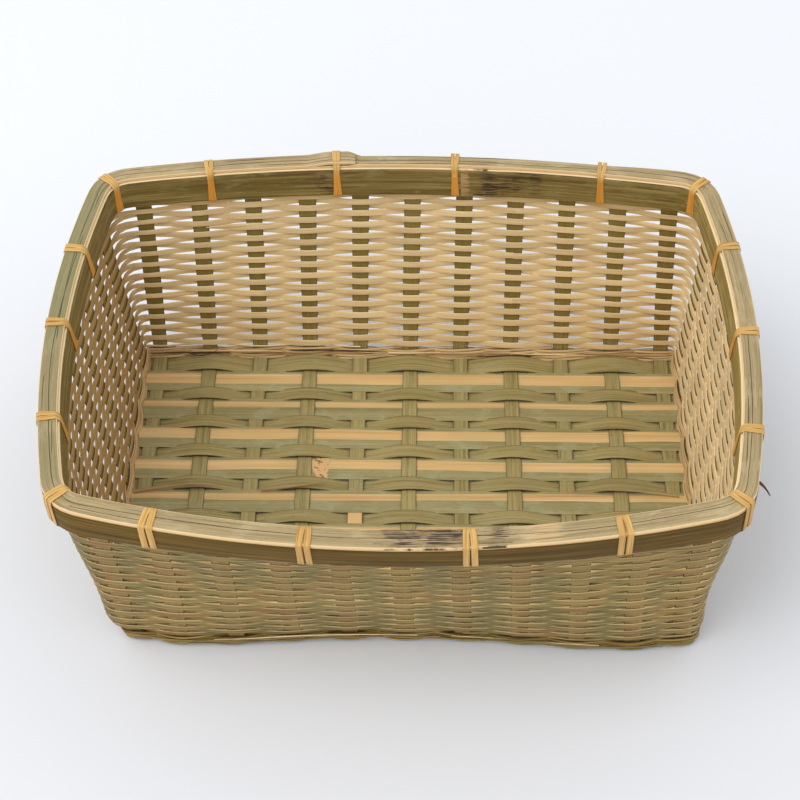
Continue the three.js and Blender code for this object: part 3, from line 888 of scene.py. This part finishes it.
# %% Long stakes
for i, place in enumerate(LONG_PLACES):
    lift = BATTEN_LIFT if i % 2 else -BATTEN_LIFT
    edge = FLOOR_HALF_WIDTH - BEND_RADIUS / 2
    crossings = sorted([(-y, 0) for y in CROSS_PLACES] + [(-y, lift) for y in BATTEN_PLACES])
    make_stake(f"long_stake_{i + 1:02d}", SIDES[BACK], SIDES[FRONT], i, LONG_WIDTH,
               [(-edge, 0), *crossings, (edge, 0)],
               lambda run, x=place: Vector((x, -run, 0)), i, i * 500.0)

# %% Cross stakes
for i, place in enumerate(CROSS_PLACES):
    outermost = i in (0, CROSS_STAKES - 1)
    shift = math.copysign(OUTER_CROSS_SHIFT, place) if outermost else 0
    edge = FLOOR_HALF_LENGTH - BEND_RADIUS / 2
    lifts = [CROSS_LIFT if k % 2 else -CROSS_LIFT for k in range(LONG_STAKES)]
    make_stake(f"cross_stake_{i + 1}", SIDES[LEFT], SIDES[RIGHT], i,
               OUTER_CROSS_WIDTH if outermost else CROSS_WIDTH,
               [(-edge, -CROSS_LIFT * 0.75), *zip(LONG_PLACES, lifts), (edge, -CROSS_LIFT * 0.75)],
               lambda run, y=place + shift: Vector((run, y, 0)), 20 + i, 9000 + i * 500.0)
print("stakes made:", piece_count)

# %% [markdown]
# The battens are thick slats split from the wall of a large cane. The maker shaved a flat crown
# along each with a knife, which leaves a pale band between two edges of green skin. No two of
# the bands are as wide, and each batten's tone says how wide its own is.

# %% Battens
BATTEN_WIDTH = 16.4
BATTEN_BANDS = [0.4, 0.5, 0.4, 0.2, 0.45, 0.5, 0.1, 0.62]
BATTEN_THICKNESS = 1.8
BATTEN_HALF_LENGTH = FLOOR_HALF_LENGTH - 0.8
BATTEN_HALF_STEPS = 60
KNOT_BATTEN = 4
KNOT_PLACE = -50
KNOT_SPREAD = 5
for i, place in enumerate(BATTEN_PLACES):
    path = Path()
    for k in range(2 * BATTEN_HALF_STEPS + 1):
        x = BATTEN_HALF_LENGTH * (k / BATTEN_HALF_STEPS - 1)
        point = drifted(Vector((x, place, FLOOR_LEVEL)), 0)
        knot = math.exp(-((x - KNOT_PLACE) / KNOT_SPREAD) ** 2) if i == KNOT_BATTEN else 0
        path.point(point, Vector((0, 1, 0)), Vector((0, 0, 1)), BATTEN_WIDTH,
                   BATTEN_THICKNESS * (1 + 0.3 * knot), BATTEN_BANDS[i], knot)
    name = f"floor_batten_{i + 1}"
    mesh = finished_mesh(name, path, BATTEN_LOOK, 20000 + i * 400.0, crown=0.6,
                         squareness=0.5, section_points=16, seed=40.0 + i)
    piece(f"batten_{i + 1}", [mesh], [name])

# %% [markdown]
# The walls are filled in plain weave. Two weavers chase each other round the basket: where one
# passes in front of a stake, the other passes behind it. Each climbs by two rows in a round. They
# begin pressed thin against the foot, so that the first rows leave no gap. The maker pulled the
# weave tighter on some walls than on others, and it opened a little at the two back corners.

# %% Weavers
WEAVER_THICKNESS = 0.65
WEAVER_REACHES = [0.95, 0.95, 1.22, 1.05]
WEAVER_WIDTHS = [1.06, 1.22, 0.94, 1.02]
# how far each side's tone is lowered for painted shade; only the left wall, whose inside is in
# shade
WEAVER_PAINTED_SHADE = [0, 0, 0, 2]
WEAVING_FOOT = level_of(9.7)
WEAVING_TOP = level_of(RIM_HEIGHT - 8)
ROUNDS = 14
ROUNDS_PER_PAIR = 4
ROW_STEP = (WEAVING_TOP - WEAVING_FOOT) / (2 * ROUNDS + 2)
ROW_PITCH = ROW_STEP * WALL_HEIGHT
STEPS_PER_STAKE = 6
STAKES_PER_JOINT = 33
FIRST_ROWS_EARLY = 0.85
HALF_IN_ROW = 0.4
OPEN_REACH = 0.15
OPEN_NARROWING = 0.2
SEAM = SIDES[BACK].first + 3
OPEN_CORNERS = (SIDES[BACK].first - 0.4, SIDES[LEFT].first - 0.6)
OPEN_SPREAD = 1.1
JOINT_TONES = 0.5
# unevenness: its strength, how quickly it changes along and up, and where its noise begins
LEVEL_WAVES = [(0.14, 0.45, 0.35, 0), (0.1, 1.3, 0.8, 9)]
REACH_WAVE = (0.16, 0.7, 0.9, 20)
WIDTH_WAVE = (0.14, 0.3, 0.9, 3)
WIDER_BETWEEN = 0.09


def openness(place):
    """1 at the two back corners, where the strips are pulled narrow, and 0 away from them."""
    wrapped = place % STAKES_ROUND
    return sum(math.exp(-(((wrapped - corner) / OPEN_SPREAD) ** 2)) for corner in OPEN_CORNERS)


def weaver_path(first_row, rounds, seed):
    def waved(strength, along, up, start):
        """Unevenness at the place and row that the loop below has reached."""
        return strength * wander(place * along, row * up, seed + start)

    path = Path()
    early = round((first_row + FIRST_ROWS_EARLY) * STAKES_ROUND / 2) if first_row < 2 else 0
    total = rounds * STAKES_ROUND * STEPS_PER_STAKE
    for step in range(-early * STEPS_PER_STAKE, total + 1):
        turned = step / STEPS_PER_STAKE
        place = SEAM + turned
        row = first_row + 2 * turned / STAKES_ROUND
        full = min(1.0, row + 1)
        uneven = sum(waved(*wave) for wave in LEVEL_WAVES)
        level = WEAVING_FOOT + (row + 1 - full / 2 + uneven * full) * ROW_STEP
        # the swing is 1 outside a stake, -1 inside one, and 0 between two
        swing = math.cos(math.pi * (place + first_row))
        half = ROW_STEP * HALF_IN_ROW * full
        opened = openness(place)
        reach = by_side(place, WEAVER_REACHES) * (1 + OPEN_REACH * opened)
        reach *= 1 + waved(*REACH_WAVE)
        middle, rise, _, out = wall_section(place, level - half, level + half, swing * reach,
                                            drifted)
        joint = math.floor((turned + seed * 7) / STAKES_PER_JOINT)
        tone = 0.5 + JOINT_TONES * wander(joint * 3.3, seed * 5.1, 2)
        # painted shade: the left wall's weavers get a low tone, which the weaver look darkens
        tone -= by_side(place, WEAVER_PAINTED_SHADE)
        between = 1 - swing**2
        width = ROW_PITCH * (by_side(place, WEAVER_WIDTHS) + WIDER_BETWEEN * between)
        width *= (1 - OPEN_NARROWING * opened) * (1 + waved(*WIDTH_WAVE)) * full
        path.point(middle, rise, out, width, WEAVER_THICKNESS, tone, between)
    return path


for pair in range(math.ceil(ROUNDS / ROUNDS_PER_PAIR)):
    start = pair * ROUNDS_PER_PAIR
    for strand in (0, 1):
        number = 2 * pair + strand + 1
        path = weaver_path(2 * start + strand, min(ROUNDS_PER_PAIR, ROUNDS - start), number)
        mesh = finished_mesh("weaver", path, WEAVER_LOOK, number * 5000.0, crown=0.12,
                             squareness=0.2, seed=60.0 + number, ragged_edge=0.12,
                             ragged_length=9.0)
        piece(f"weft_{number}", [mesh], [f"weaver_{number}"])
print("weavers made:", number)

# %% [markdown]
# At the foot of the walls two strands are twisted round each other between the stakes. The
# twist is a wave in and out of the wall with a second wave up and down, a quarter turn behind.
# Each strand is a few fine splints that were never quite the same, so they fan out a little.

# %% Twining
TWINE_MIDDLE = 5.2
TWINE_RISE = 0.5
TWINE_REACHES = [2.2, 1.4, 1.2, 1.4]
SPLINTS = 4
SPLINT_WIDTH = 2.1
SPLINT_THICKNESS = 1.4
FAN = 1.8
FAN_WANDER = 0.5
PHASE_WANDER = 0.35
SIDE_WANDER = 0.35
FIRST_REACH = 1.15
REACH_STEP = 0.08
TWINE_TONES = 0.6
RING_STEPS = 8
for strand in (0, 1):
    meshes = []
    for splint in range(SPLINTS):
        path = Path()
        for step in range(STAKES_ROUND * RING_STEPS + 1):
            place = SEAM + step / RING_STEPS
            phase = math.pi * (place + strand)
            phase += PHASE_WANDER * wander(place * 0.4, splint * 3, strand)
            fan = (splint - (SPLINTS - 1) / 2) * FAN
            fan *= 1 + FAN_WANDER * wander(place * 0.5, splint, strand + 5)
            height = TWINE_MIDDLE + TWINE_RISE * math.sin(phase) + fan
            offset = by_side(place, TWINE_REACHES) * math.cos(phase)
            offset *= FIRST_REACH - REACH_STEP * splint
            offset += SIDE_WANDER * wander(place * 0.9, splint * 7, strand + 11)
            tone = 0.5 + TWINE_TONES * wander(place * 0.15, splint * 9, strand * 4)
            path.point(*splint_section(place, height, SPLINT_WIDTH, offset), SPLINT_WIDTH,
                       SPLINT_THICKNESS, tone)
        meshes.append(finished_mesh("twine", path, TWINE_LOOK,
                                    80000 + strand * 4000.0 + splint * 1300, crown=0.8,
                                    squareness=0.8, seed=80.0 + strand * 3 + splint))
    piece(f"twining_{strand + 1}", meshes, [f"base_twine_{strand + 1}"])

# %% [markdown]
# The rim is a sandwich. A thin hoop inside and a stout one outside grip the wall, and a flat
# strip covers all the cut ends. Each goes once round and overlaps itself in a thinned joint. The
# outer hoop is a split cane that is heavier along the front, and the cover follows its face.

# %% Rim sizes
HOOP_HEIGHT = 17
HOOP_LOW = level_of(RIM_HEIGHT - HOOP_HEIGHT)
INNER_HOOP = 3
OUTER_HOOPS = [5.8, 3.7, 3.7, 3.7]
INNER_HOOP_TONES = [0.5, 1.5, 0.5, 0.5]
COVER_TONES = [0.5, 0.36, 0.5, 0.1]
HOOP_TONE_WANDER = 0.35
COVER_TONE_WANDER = 0.2
COVER = 2
GAP = 0.3
WALL_HALF = 2.02
INNER_FACE = -(WALL_HALF + GAP + INNER_HOOP)
COVER_SETBACK = 1.3
COVER_INNER = INNER_FACE + COVER_SETBACK
COVER_JOINT = SIDES[BACK].first + 5.93
COVER_NARROWING = 2
LAP = 0.9
LAP_STEP = 2
LAP_TIP = 0.4
STAIN_FADE = 12


def outer_face(place):
    return WALL_HALF + GAP + by_side(place, OUTER_HOOPS)


def lap_share(place, joint):
    """How much of the thickness is kept, and on which side of the joint it lies."""
    end = joint + STAKES_ROUND + LAP
    if place < joint + LAP:
        grown = max(0.0, (place - joint - LAP * 0.6) / (LAP * 0.4))
        return 0.5 + 0.5 * grown, -1
    if place > joint + STAKES_ROUND:
        return min(0.5, 0.06 + (end - place) / LAP_TIP), 1
    return 1.0, 0


def lapped_round(joint):
    """Places once round the rim and over the lap, with the share and side of each."""
    for step in range(round((STAKES_ROUND + LAP) * RING_STEPS) + 1):
        place = joint + step / RING_STEPS
        yield place, *lap_share(place, joint)


def stain(x, low, high):
    """1 between two places along X, fading out towards both."""
    return max(0.0, min(1.0, (x - low) / STAIN_FADE, (high - x) / STAIN_FADE))


def hoop_mesh(joint, outwards, thicknesses, tones, marks, material, run_start, seed):
    """A hoop against the wall: outwards is 1 for the outer one and -1 for the inner."""
    path = Path()
    for place, share, half in lapped_round(joint):
        thickness = by_side(place, thicknesses)
        shift = outwards * (WALL_HALF + GAP + thickness / 2 * (1 + half * (1 - share)))
        middle, rise, height, out = wall_section(place, HOOP_LOW, 1, shift)
        mark = marks(middle) - (1 if half > 0 and share < 0.45 else 0)
        tone = by_side(place, tones) + HOOP_TONE_WANDER * wander(place * 0.12, seed)
        path.point(middle, rise, out, height, thickness * share, tone, mark)
    return finished_mesh("hoop", path, material, run_start, squareness=0.2, seed=seed,
                         section_points=12, ragged_edge=0.03, ragged_length=60.0)


def cover_rise(place):
    """How far the cover's start is lifted by the end below it."""
    along = (place - COVER_JOINT) % STAKES_ROUND
    if along > LAP:
        return 0.0
    return LAP_STEP * min(1, 2 * (1 - lap_share(COVER_JOINT + along, COVER_JOINT)[0]))


def cover_width(place):
    """The strip was cut narrower towards the end that lies under its start."""
    before_joint = (COVER_JOINT - place) % STAKES_ROUND
    narrowed = COVER_NARROWING * smooth((6 - before_joint) / 1.5)
    return outer_face(place) - GAP - COVER_INNER - narrowed


def cover_mesh(run_start, seed):
    """The cover's start lies on top of its end, which is thinned to pass under it."""
    path = Path()
    for place, share, half in lapped_round(COVER_JOINT):
        under = half > 0
        width = cover_width(min(place, COVER_JOINT + STAKES_ROUND - 0.01) if under else place)
        kept = COVER * (share if under else 1)
        point, _, out = ring_point(place, 1)
        point = by_hand(point + out * (COVER_INNER + width / 2), 1)
        point.z += GAP + kept / 2 + (cover_rise(place) if half < 0 else 0)
        mark = 0
        if point.y < 0:
            mark = stain(point.x, -14, 58) - 0.9 * stain(point.x, 50, 86)
        tone = by_side(place, COVER_TONES) + COVER_TONE_WANDER * wander(place * 0.2, seed)
        path.point(point, out, Vector((0, 0, 1)), width, kept, tone, mark)
    return finished_mesh("cover", path, COVER_LOOK, run_start, squareness=0.22, seed=seed,
                         section_points=12, ragged_edge=0.05, ragged_length=40.0)


def hoop_stains(point):
    """Two damp places on the inner hoop, both on the back wall."""
    if point.y < 0:
        return 0
    return 0.85 * stain(point.x, 32, 84) + 0.5 * stain(point.x, -66, -34)


mesh = hoop_mesh(SIDES[BACK].first + 3.05, -1, [INNER_HOOP] * 4, INNER_HOOP_TONES,
                 hoop_stains, INNER_HOOP_LOOK, 90000.0, 90.0)
piece("rim_inner_band", [mesh], ["inner_hoop"])
mesh = hoop_mesh(SIDES[BACK].first + 7.2, 1, OUTER_HOOPS, [0.5] * 4, lambda point: 0,
                 HOOP_LOOK, 93000.0, 91.0)
piece("rim_outer_band", [mesh], ["outer_hoop"])
piece("rim_top_strip", [cover_mesh(96000.0, 92.0)], ["rim_cover"])

# %% [markdown]
# Narrow split cane ties the rim. Each lashing goes twice round the sandwich, spreads over the
# top, draws together on the inner hoop, and passes through the weave beside the nearest stake.

# %% Lashings
LASHING_WIDTHS = [3.4, 2.9, 2.4, 2.9]
USUAL_WIDTH = 2.9
LASHING_THICKNESS = 0.55
BESIDE_STAKE = 0.27
TURNS_UNEVENNESS = 0.2
TURNS_WANDER = 0.5
LASHING_TONES = 0.4
LASHING_PLACES = {
    "front": [-4.02, -1.5, 1.15, 3.62],
    "right": [-2.85, -0.06, 2.57],
    "back": [-3.72, -0.96, 1.29, 3.68],
    "left": [-2.37, -0.07, 2.64],
}


def beside(place):
    """The nearest place where a lashing can pass through the weave without meeting a stake."""
    off = place - round(place)
    return round(place) + math.copysign(max(abs(off), BESIDE_STAKE), off)


def lashing_outline(place):
    """Once round the rim: distance outwards, height, and half the gap between the two turns."""
    top = RIM_HEIGHT + GAP + COVER + cover_rise(place)
    face = outer_face(place)
    gap = LASHING_THICKNESS / 2 + 0.1
    below = RIM_HEIGHT - HOOP_HEIGHT
    return [
        (INNER_FACE - gap, RIM_HEIGHT - 2, 0.7), (INNER_FACE - gap * 0.3, RIM_HEIGHT + gap, 0.9),
        (COVER_INNER - gap * 0.5, RIM_HEIGHT + GAP + COVER * 0.7, 1.1),
        (COVER_INNER + 1, top + gap, 1.3), (COVER_INNER + 5, top + gap, 1.6),
        (face - 1.5, top + gap, 1.7), (face + gap * 0.6, top - 0.3, 1.7),
        (face + gap, RIM_HEIGHT - 1, 1.7), (face + gap, below + 9, 1.75),
        (face + gap, below + 1, 1.8), (face - 0.5, below - gap, 1.6),
        (face - 2.5, below - 0.8, 1.4), (1.2, below - 1.6, 1.4), (-1.5, below - 1.6, 1.4),
        (INNER_FACE + 1, below - 0.8, 1.4), (INNER_FACE - gap * 0.6, below + 0.2, 1.4),
        (INNER_FACE - gap, below + 2, 1.3), (INNER_FACE - gap, below + 9, 0.9),
    ]


def lashing_turn(place, turn, seed):
    outline = lashing_outline(place)
    hidden = RIM_HEIGHT - HOOP_HEIGHT - 1
    width = by_side(place, LASHING_WIDTHS)
    points = []
    for i in range(2 * len(outline) + 1):
        here = outline[i // 2 % len(outline)]
        following = outline[(i // 2 + 1) % len(outline)]
        offset, height, half = [a + (b - a) * 0.5 * (i % 2) for a, b in zip(here, following)]
        level = min(level_of(height), 1)
        point, along, out = ring_point(beside(place) if height < hidden else place, level)
        point.z += max(0.0, height - RIM_HEIGHT)
        point = by_hand(point + out * offset, level)
        shift = turn * half * width / USUAL_WIDTH * (1 + TURNS_UNEVENNESS * wander(seed, 4))
        shift += TURNS_WANDER * wander(seed, i / len(outline), turn)
        # 1 on the inner hoop's face below the rim, where the lashing is painted darker as shade
        inner = smooth(-1 - offset) * smooth((RIM_HEIGHT - height) / 3)
        points.append((point + along * shift, along, inner))
    path = Path()
    for i, (point, along, inner) in enumerate(points):
        before = points[i - 1 if i else -2][0]
        after = points[(i + 1) if i < len(points) - 1 else 1][0]
        run = (after - before).normalized()
        normal = along.cross(run).normalized()
        path.point(point, run.cross(normal).normalized(), normal, width, LASHING_THICKNESS,
                   0.5 + LASHING_TONES * wander(seed, turn * 3.7), inner)
    return finished_mesh("lashing", path, LASHING_LOOK, 100000 + seed * 200.0,
                         crown=0.4, squareness=0.5, seed=seed)


ties = [(f"{name}_{i + 1}", side.first + (side.count - 1) / 2 + pitches)
        for side, (name, places) in zip(SIDES, LASHING_PLACES.items())
        for i, pitches in enumerate(places)]
ties += [(f"corner_{i + 1}", side.first + side.count - 0.5) for i, side in enumerate(SIDES)]
for number, (name, place) in enumerate(ties):
    meshes = [lashing_turn(place, turn, 101.0 + number) for turn in (-1, 1)]
    piece(f"tie_{name}", meshes, [f"lashing_{name}"])
print("pieces:", piece_count)

# %% [markdown]
# Split bamboo never stays quite whole: here and there a splinter lifts off its strip. Hair would
# be quicker, but these are flat slivers, so they are strips like the rest. Each list gives their
# places, their width, and the look of the strip that they came off.

# %% Splinters
SPLINTER_THICKNESS = 0.5
SPLINTER_STEPS = 12
SPLINTER_THINNING = 0.75
SPLINT_STEPS = 24
SPLINT_POINT = 0.2
SPLINT_WANDER = 0.3
FREE_SPLINTERS = {
    "left": ((-154, -6, 3.6), (-128, -3, 6.6), (-97, -3.5, 5.8), 2.2, TAN_SPLINTER_LOOK, "stake"),
    "middle": ((-82, -4.5, 5.2), (-62, -2.8, 6.4), (-45, 0.5, 6), 2.2, TAN_SPLINTER_LOOK, "stake"),
    "right": ((155, -6.3, 3.4), (125, -4.3, 6), (94, -4.6, 5.4), 1.5, TAN_SPLINTER_LOOK, "stake"),
    "back": ((-131, 101, 7), (-120, 97.5, 9), (-112, 98, 15), 1.2, DARK_SPLINTER_LOOK, "twine"),
    "rim": ((175.5, -92, 117), (179.5, -94, 115), (183, -97, 111), 2.6, DARK_SPLINTER_LOOK,
            "hoop"),
}
# from and to: places, heights, distances outwards; then the width, the look and the bow
LOOSE_SPLINTS = [
    (1.6, 5.2, 8.2, 8.0, 2.6, 2.4, 1.5, PALE_SPLINTER_LOOK, 1.5),
    (2.6, 5.6, 9.4, 6.6, 2.7, 2.5, 1.2, TAN_SPLINTER_LOOK, -1.5),
    (5.8, 8.4, 8.6, 7.4, 2.5, 2.6, 1.4, PALE_SPLINTER_LOOK, -0.8),
    (0.4, 3.2, 5.6, 6.4, 2.7, 2.6, 1.3, TAN_SPLINTER_LOOK, 1.0),
    (27.7, 28.9, 92.6, 92.3, -1.5, -1.9, 1.8, PALE_SPLINTER_LOOK, 0.2),
]
# from and to: places and heights; then the bow
LOOSE_TWINES = [(-0.2, 3.0, 8.0, 3.4, 0.8), (0.8, 4.6, 3.6, 7.4, -0.8), (3.6, 6.4, 7.4, 4.0, 0.5),
                (5.2, 8.4, 4.2, 7.2, -0.6), (6.2, 9.6, 8.0, 3.2, 0.7), (7.2, 10.0, 4.6, 6.2, -1.0)]
# distances outwards from and to, and the width
LOOSE_TWINE = (2.7, 2.9, 1.9)
FIBRE = (-2.4, -2.1, 0.9)
FIBRE_LOOKS = (TAN_SPLINTER_LOOK, PALE_SPLINTER_LOOK, DARK_SPLINTER_LOOK)
FIBRES = 9
FIBRE_START = SIDES[BACK].first + 0.2
FIBRE_STEP = 1.05
# a middle value, and how far the fibres go to either side of it
FIBRE_LENGTHS = (1.8, 0.9)
FIBRE_FEET = (6.5, 2.5)
FIBRE_RISES = (0, 2.6)
FIBRE_BOWS = (0, 1.6)


def free_splinter(name, start, middle, end, width, look, slot):
    """A thin sliver along a curve through three points, thinning towards its end."""
    path = Path()
    peak = middle * 2 - (start + end) / 2
    shares = [i / SPLINTER_STEPS for i in range(SPLINTER_STEPS + 1)]
    points = [start * (1 - s) ** 2 + peak * 2 * s * (1 - s) + end * s**2 for s in shares]
    for i, (point, share) in enumerate(zip(points, shares)):
        run = (points[min(i + 1, SPLINTER_STEPS)] - points[max(i - 1, 0)]).normalized()
        across = run.cross(Vector((0, 0, 1))).normalized()
        kept = 1 - SPLINTER_THINNING * share
        path.point(point, across, across.cross(run).normalized(), width * kept,
                   SPLINTER_THICKNESS * kept)
    mesh = finished_mesh(name, path, look, 200000 + start.x, crown=0.5, squareness=0.7)
    piece(name, [mesh], [])


def wall_splinter(name, place_from, place_to, low, high, out_from, out_to, width, look, bow):
    """A loose splint that lies along the outside or inside of a wall, bowed at its middle."""
    path = Path()
    for s in [i / SPLINT_STEPS for i in range(SPLINT_STEPS + 1)]:
        place = place_from + (place_to - place_from) * s
        height = low + (high - low) * s
        height += bow * math.sin(math.pi * s) + SPLINT_WANDER * wander(place * 1.5, height)
        section = splint_section(place, height, width, out_from + (out_to - out_from) * s)
        kept = min(1, SPLINT_POINT + 3 * s, SPLINT_POINT + 3 * (1 - s))
        path.point(*section, width * kept, SPLINTER_THICKNESS)
    mesh = finished_mesh(name, path, look, 210000 + place_from * 90, crown=0.4, squareness=0.6)
    piece(name, [mesh], [])


for name, (*points, width, look, slot) in FREE_SPLINTERS.items():
    free_splinter(f"splinter_{name}", *map(Vector, points), width, look, slot)
for i, splint in enumerate(LOOSE_SPLINTS):
    wall_splinter(f"loose_splint_{i + 1}", *splint)
for i, (start, end, low, high, bow) in enumerate(LOOSE_TWINES):
    wall_splinter(f"loose_twine_{i + 1}", start, end, low, high, *LOOSE_TWINE, TWINE_LOOK, bow)
for i in range(FIBRES):
    length, low, rise, bow = [
        middle + reach * wander(i * pace, row) for (middle, reach), pace, row in (
            (FIBRE_LENGTHS, 2.7, 3), (FIBRE_FEET, 3.9, 8), (FIBRE_RISES, 1.7, 15),
            (FIBRE_BOWS, 5.1, 21))]
    start = FIBRE_START + i * FIBRE_STEP
    wall_splinter(f"foot_fibre_{i + 1}", start, start + length, low, low + rise, *FIBRE,
                  FIBRE_LOOKS[i % 3], bow)
print("pieces with splinters:", piece_count)

# %% [markdown]
# The studio is a pale table under a soft sky, with one large window to the left that leaves the
# inside of the left wall in shade, where the weavers also carry painted shade. The table is painted
# a little darker towards the front, as painted shade of the light falling off, and it lies a hair
# below the basket. The camera stands where the photographer stood.

# %% Table
HALF_TABLE = 4
TABLE_DROP = 0.0004
TABLE_FRONT, TABLE_BACK = -0.35, 0.3
# painted shade: the table is darker at the front than at the back, for the light falling off
TABLE_FALLOFF_COLORS = [(227, 228, 232), (236, 239, 243)]
table_mesh = bpy.data.meshes.new("table")
table_mesh.from_pydata([(x * HALF_TABLE, y * HALF_TABLE, -TABLE_DROP)
                        for x, y in ((-1, -1), (1, -1), (1, 1), (-1, 1))], [], [(0, 1, 2, 3)])
table = bpy.data.objects.new("table", table_mesh)
bpy.context.collection.objects.link(table)
paper = bpy.data.materials.new("pale_paper")
paper.use_nodes = True
tree = paper.node_tree
place = add(tree, "ShaderNodeTexCoord", output="Object")
depth = add(tree, "ShaderNodeSeparateXYZ", {0: place}, "Y")
share = add(tree, "ShaderNodeMapRange",
            {"Value": depth, "From Min": TABLE_FRONT, "From Max": TABLE_BACK})
near, far = [paint(*color) for color in TABLE_FALLOFF_COLORS]
color = add(tree, "ShaderNodeMix", {0: share, 6: near, 7: far}, 2, data_type="RGBA")
shader = tree.nodes["Principled BSDF"]
shader.inputs["Roughness"].default_value = 0.9
tree.links.new(color.socket, shader.inputs["Base Color"])
table_mesh.materials.append(paper)

# %% Light
SKY_COLOR = (0.95, 0.97, 1.0, 1.0)
SKY_STRENGTH = 0.9
WINDOW_COLOR = (1.0, 0.98, 0.95)
WINDOW_SIZE = 2.6
WINDOW_POWER = 40
WINDOW_PLACE = (-1.4, -0.9, 2.6)
world = bpy.data.worlds.new("soft_sky")
world.use_nodes = True
sky = world.node_tree.nodes["Background"]
sky.inputs["Color"].default_value = SKY_COLOR
sky.inputs["Strength"].default_value = SKY_STRENGTH
bpy.context.scene.world = world
window = bpy.data.lights.new("window", "AREA")
window.shape = "DISK"
window.size = WINDOW_SIZE
window.energy = WINDOW_POWER
window.color = WINDOW_COLOR
lamp = bpy.data.objects.new("window", window)
lamp.location = WINDOW_PLACE
lamp.rotation_mode = "QUATERNION"
lamp.rotation_quaternion = (-lamp.location).to_track_quat("-Z", "Y")
bpy.context.collection.objects.link(lamp)
bpy.context.scene.view_settings.view_transform = "Standard"

# %% Camera
CAMERA_ELEVATION = 47
# the view starts straight down, and is turned in this order, by these degrees
CAMERA_TURNS = (("Z", 0.926), ("X", 90 - CAMERA_ELEVATION), ("Z", -0.271))
CAMERA_PLACE = Vector((7.88 + HAND_SKEW, -776.73, 908.29)) * MM
FOCAL_PIXELS = 2097.6
SENSOR_WIDTH = 36
IMAGE_WIDTH = 800
view_data = bpy.data.cameras.new("camera")
view_data.sensor_width = SENSOR_WIDTH
view_data.lens = SENSOR_WIDTH * FOCAL_PIXELS / IMAGE_WIDTH
camera = bpy.data.objects.new("camera", view_data)
stand = Matrix.Translation(CAMERA_PLACE)
for axis, degrees in CAMERA_TURNS:
    stand = stand @ Matrix.Rotation(math.radians(degrees), 4, axis)
camera.matrix_world = stand
bpy.context.collection.objects.link(camera)
bpy.context.scene.camera = camera
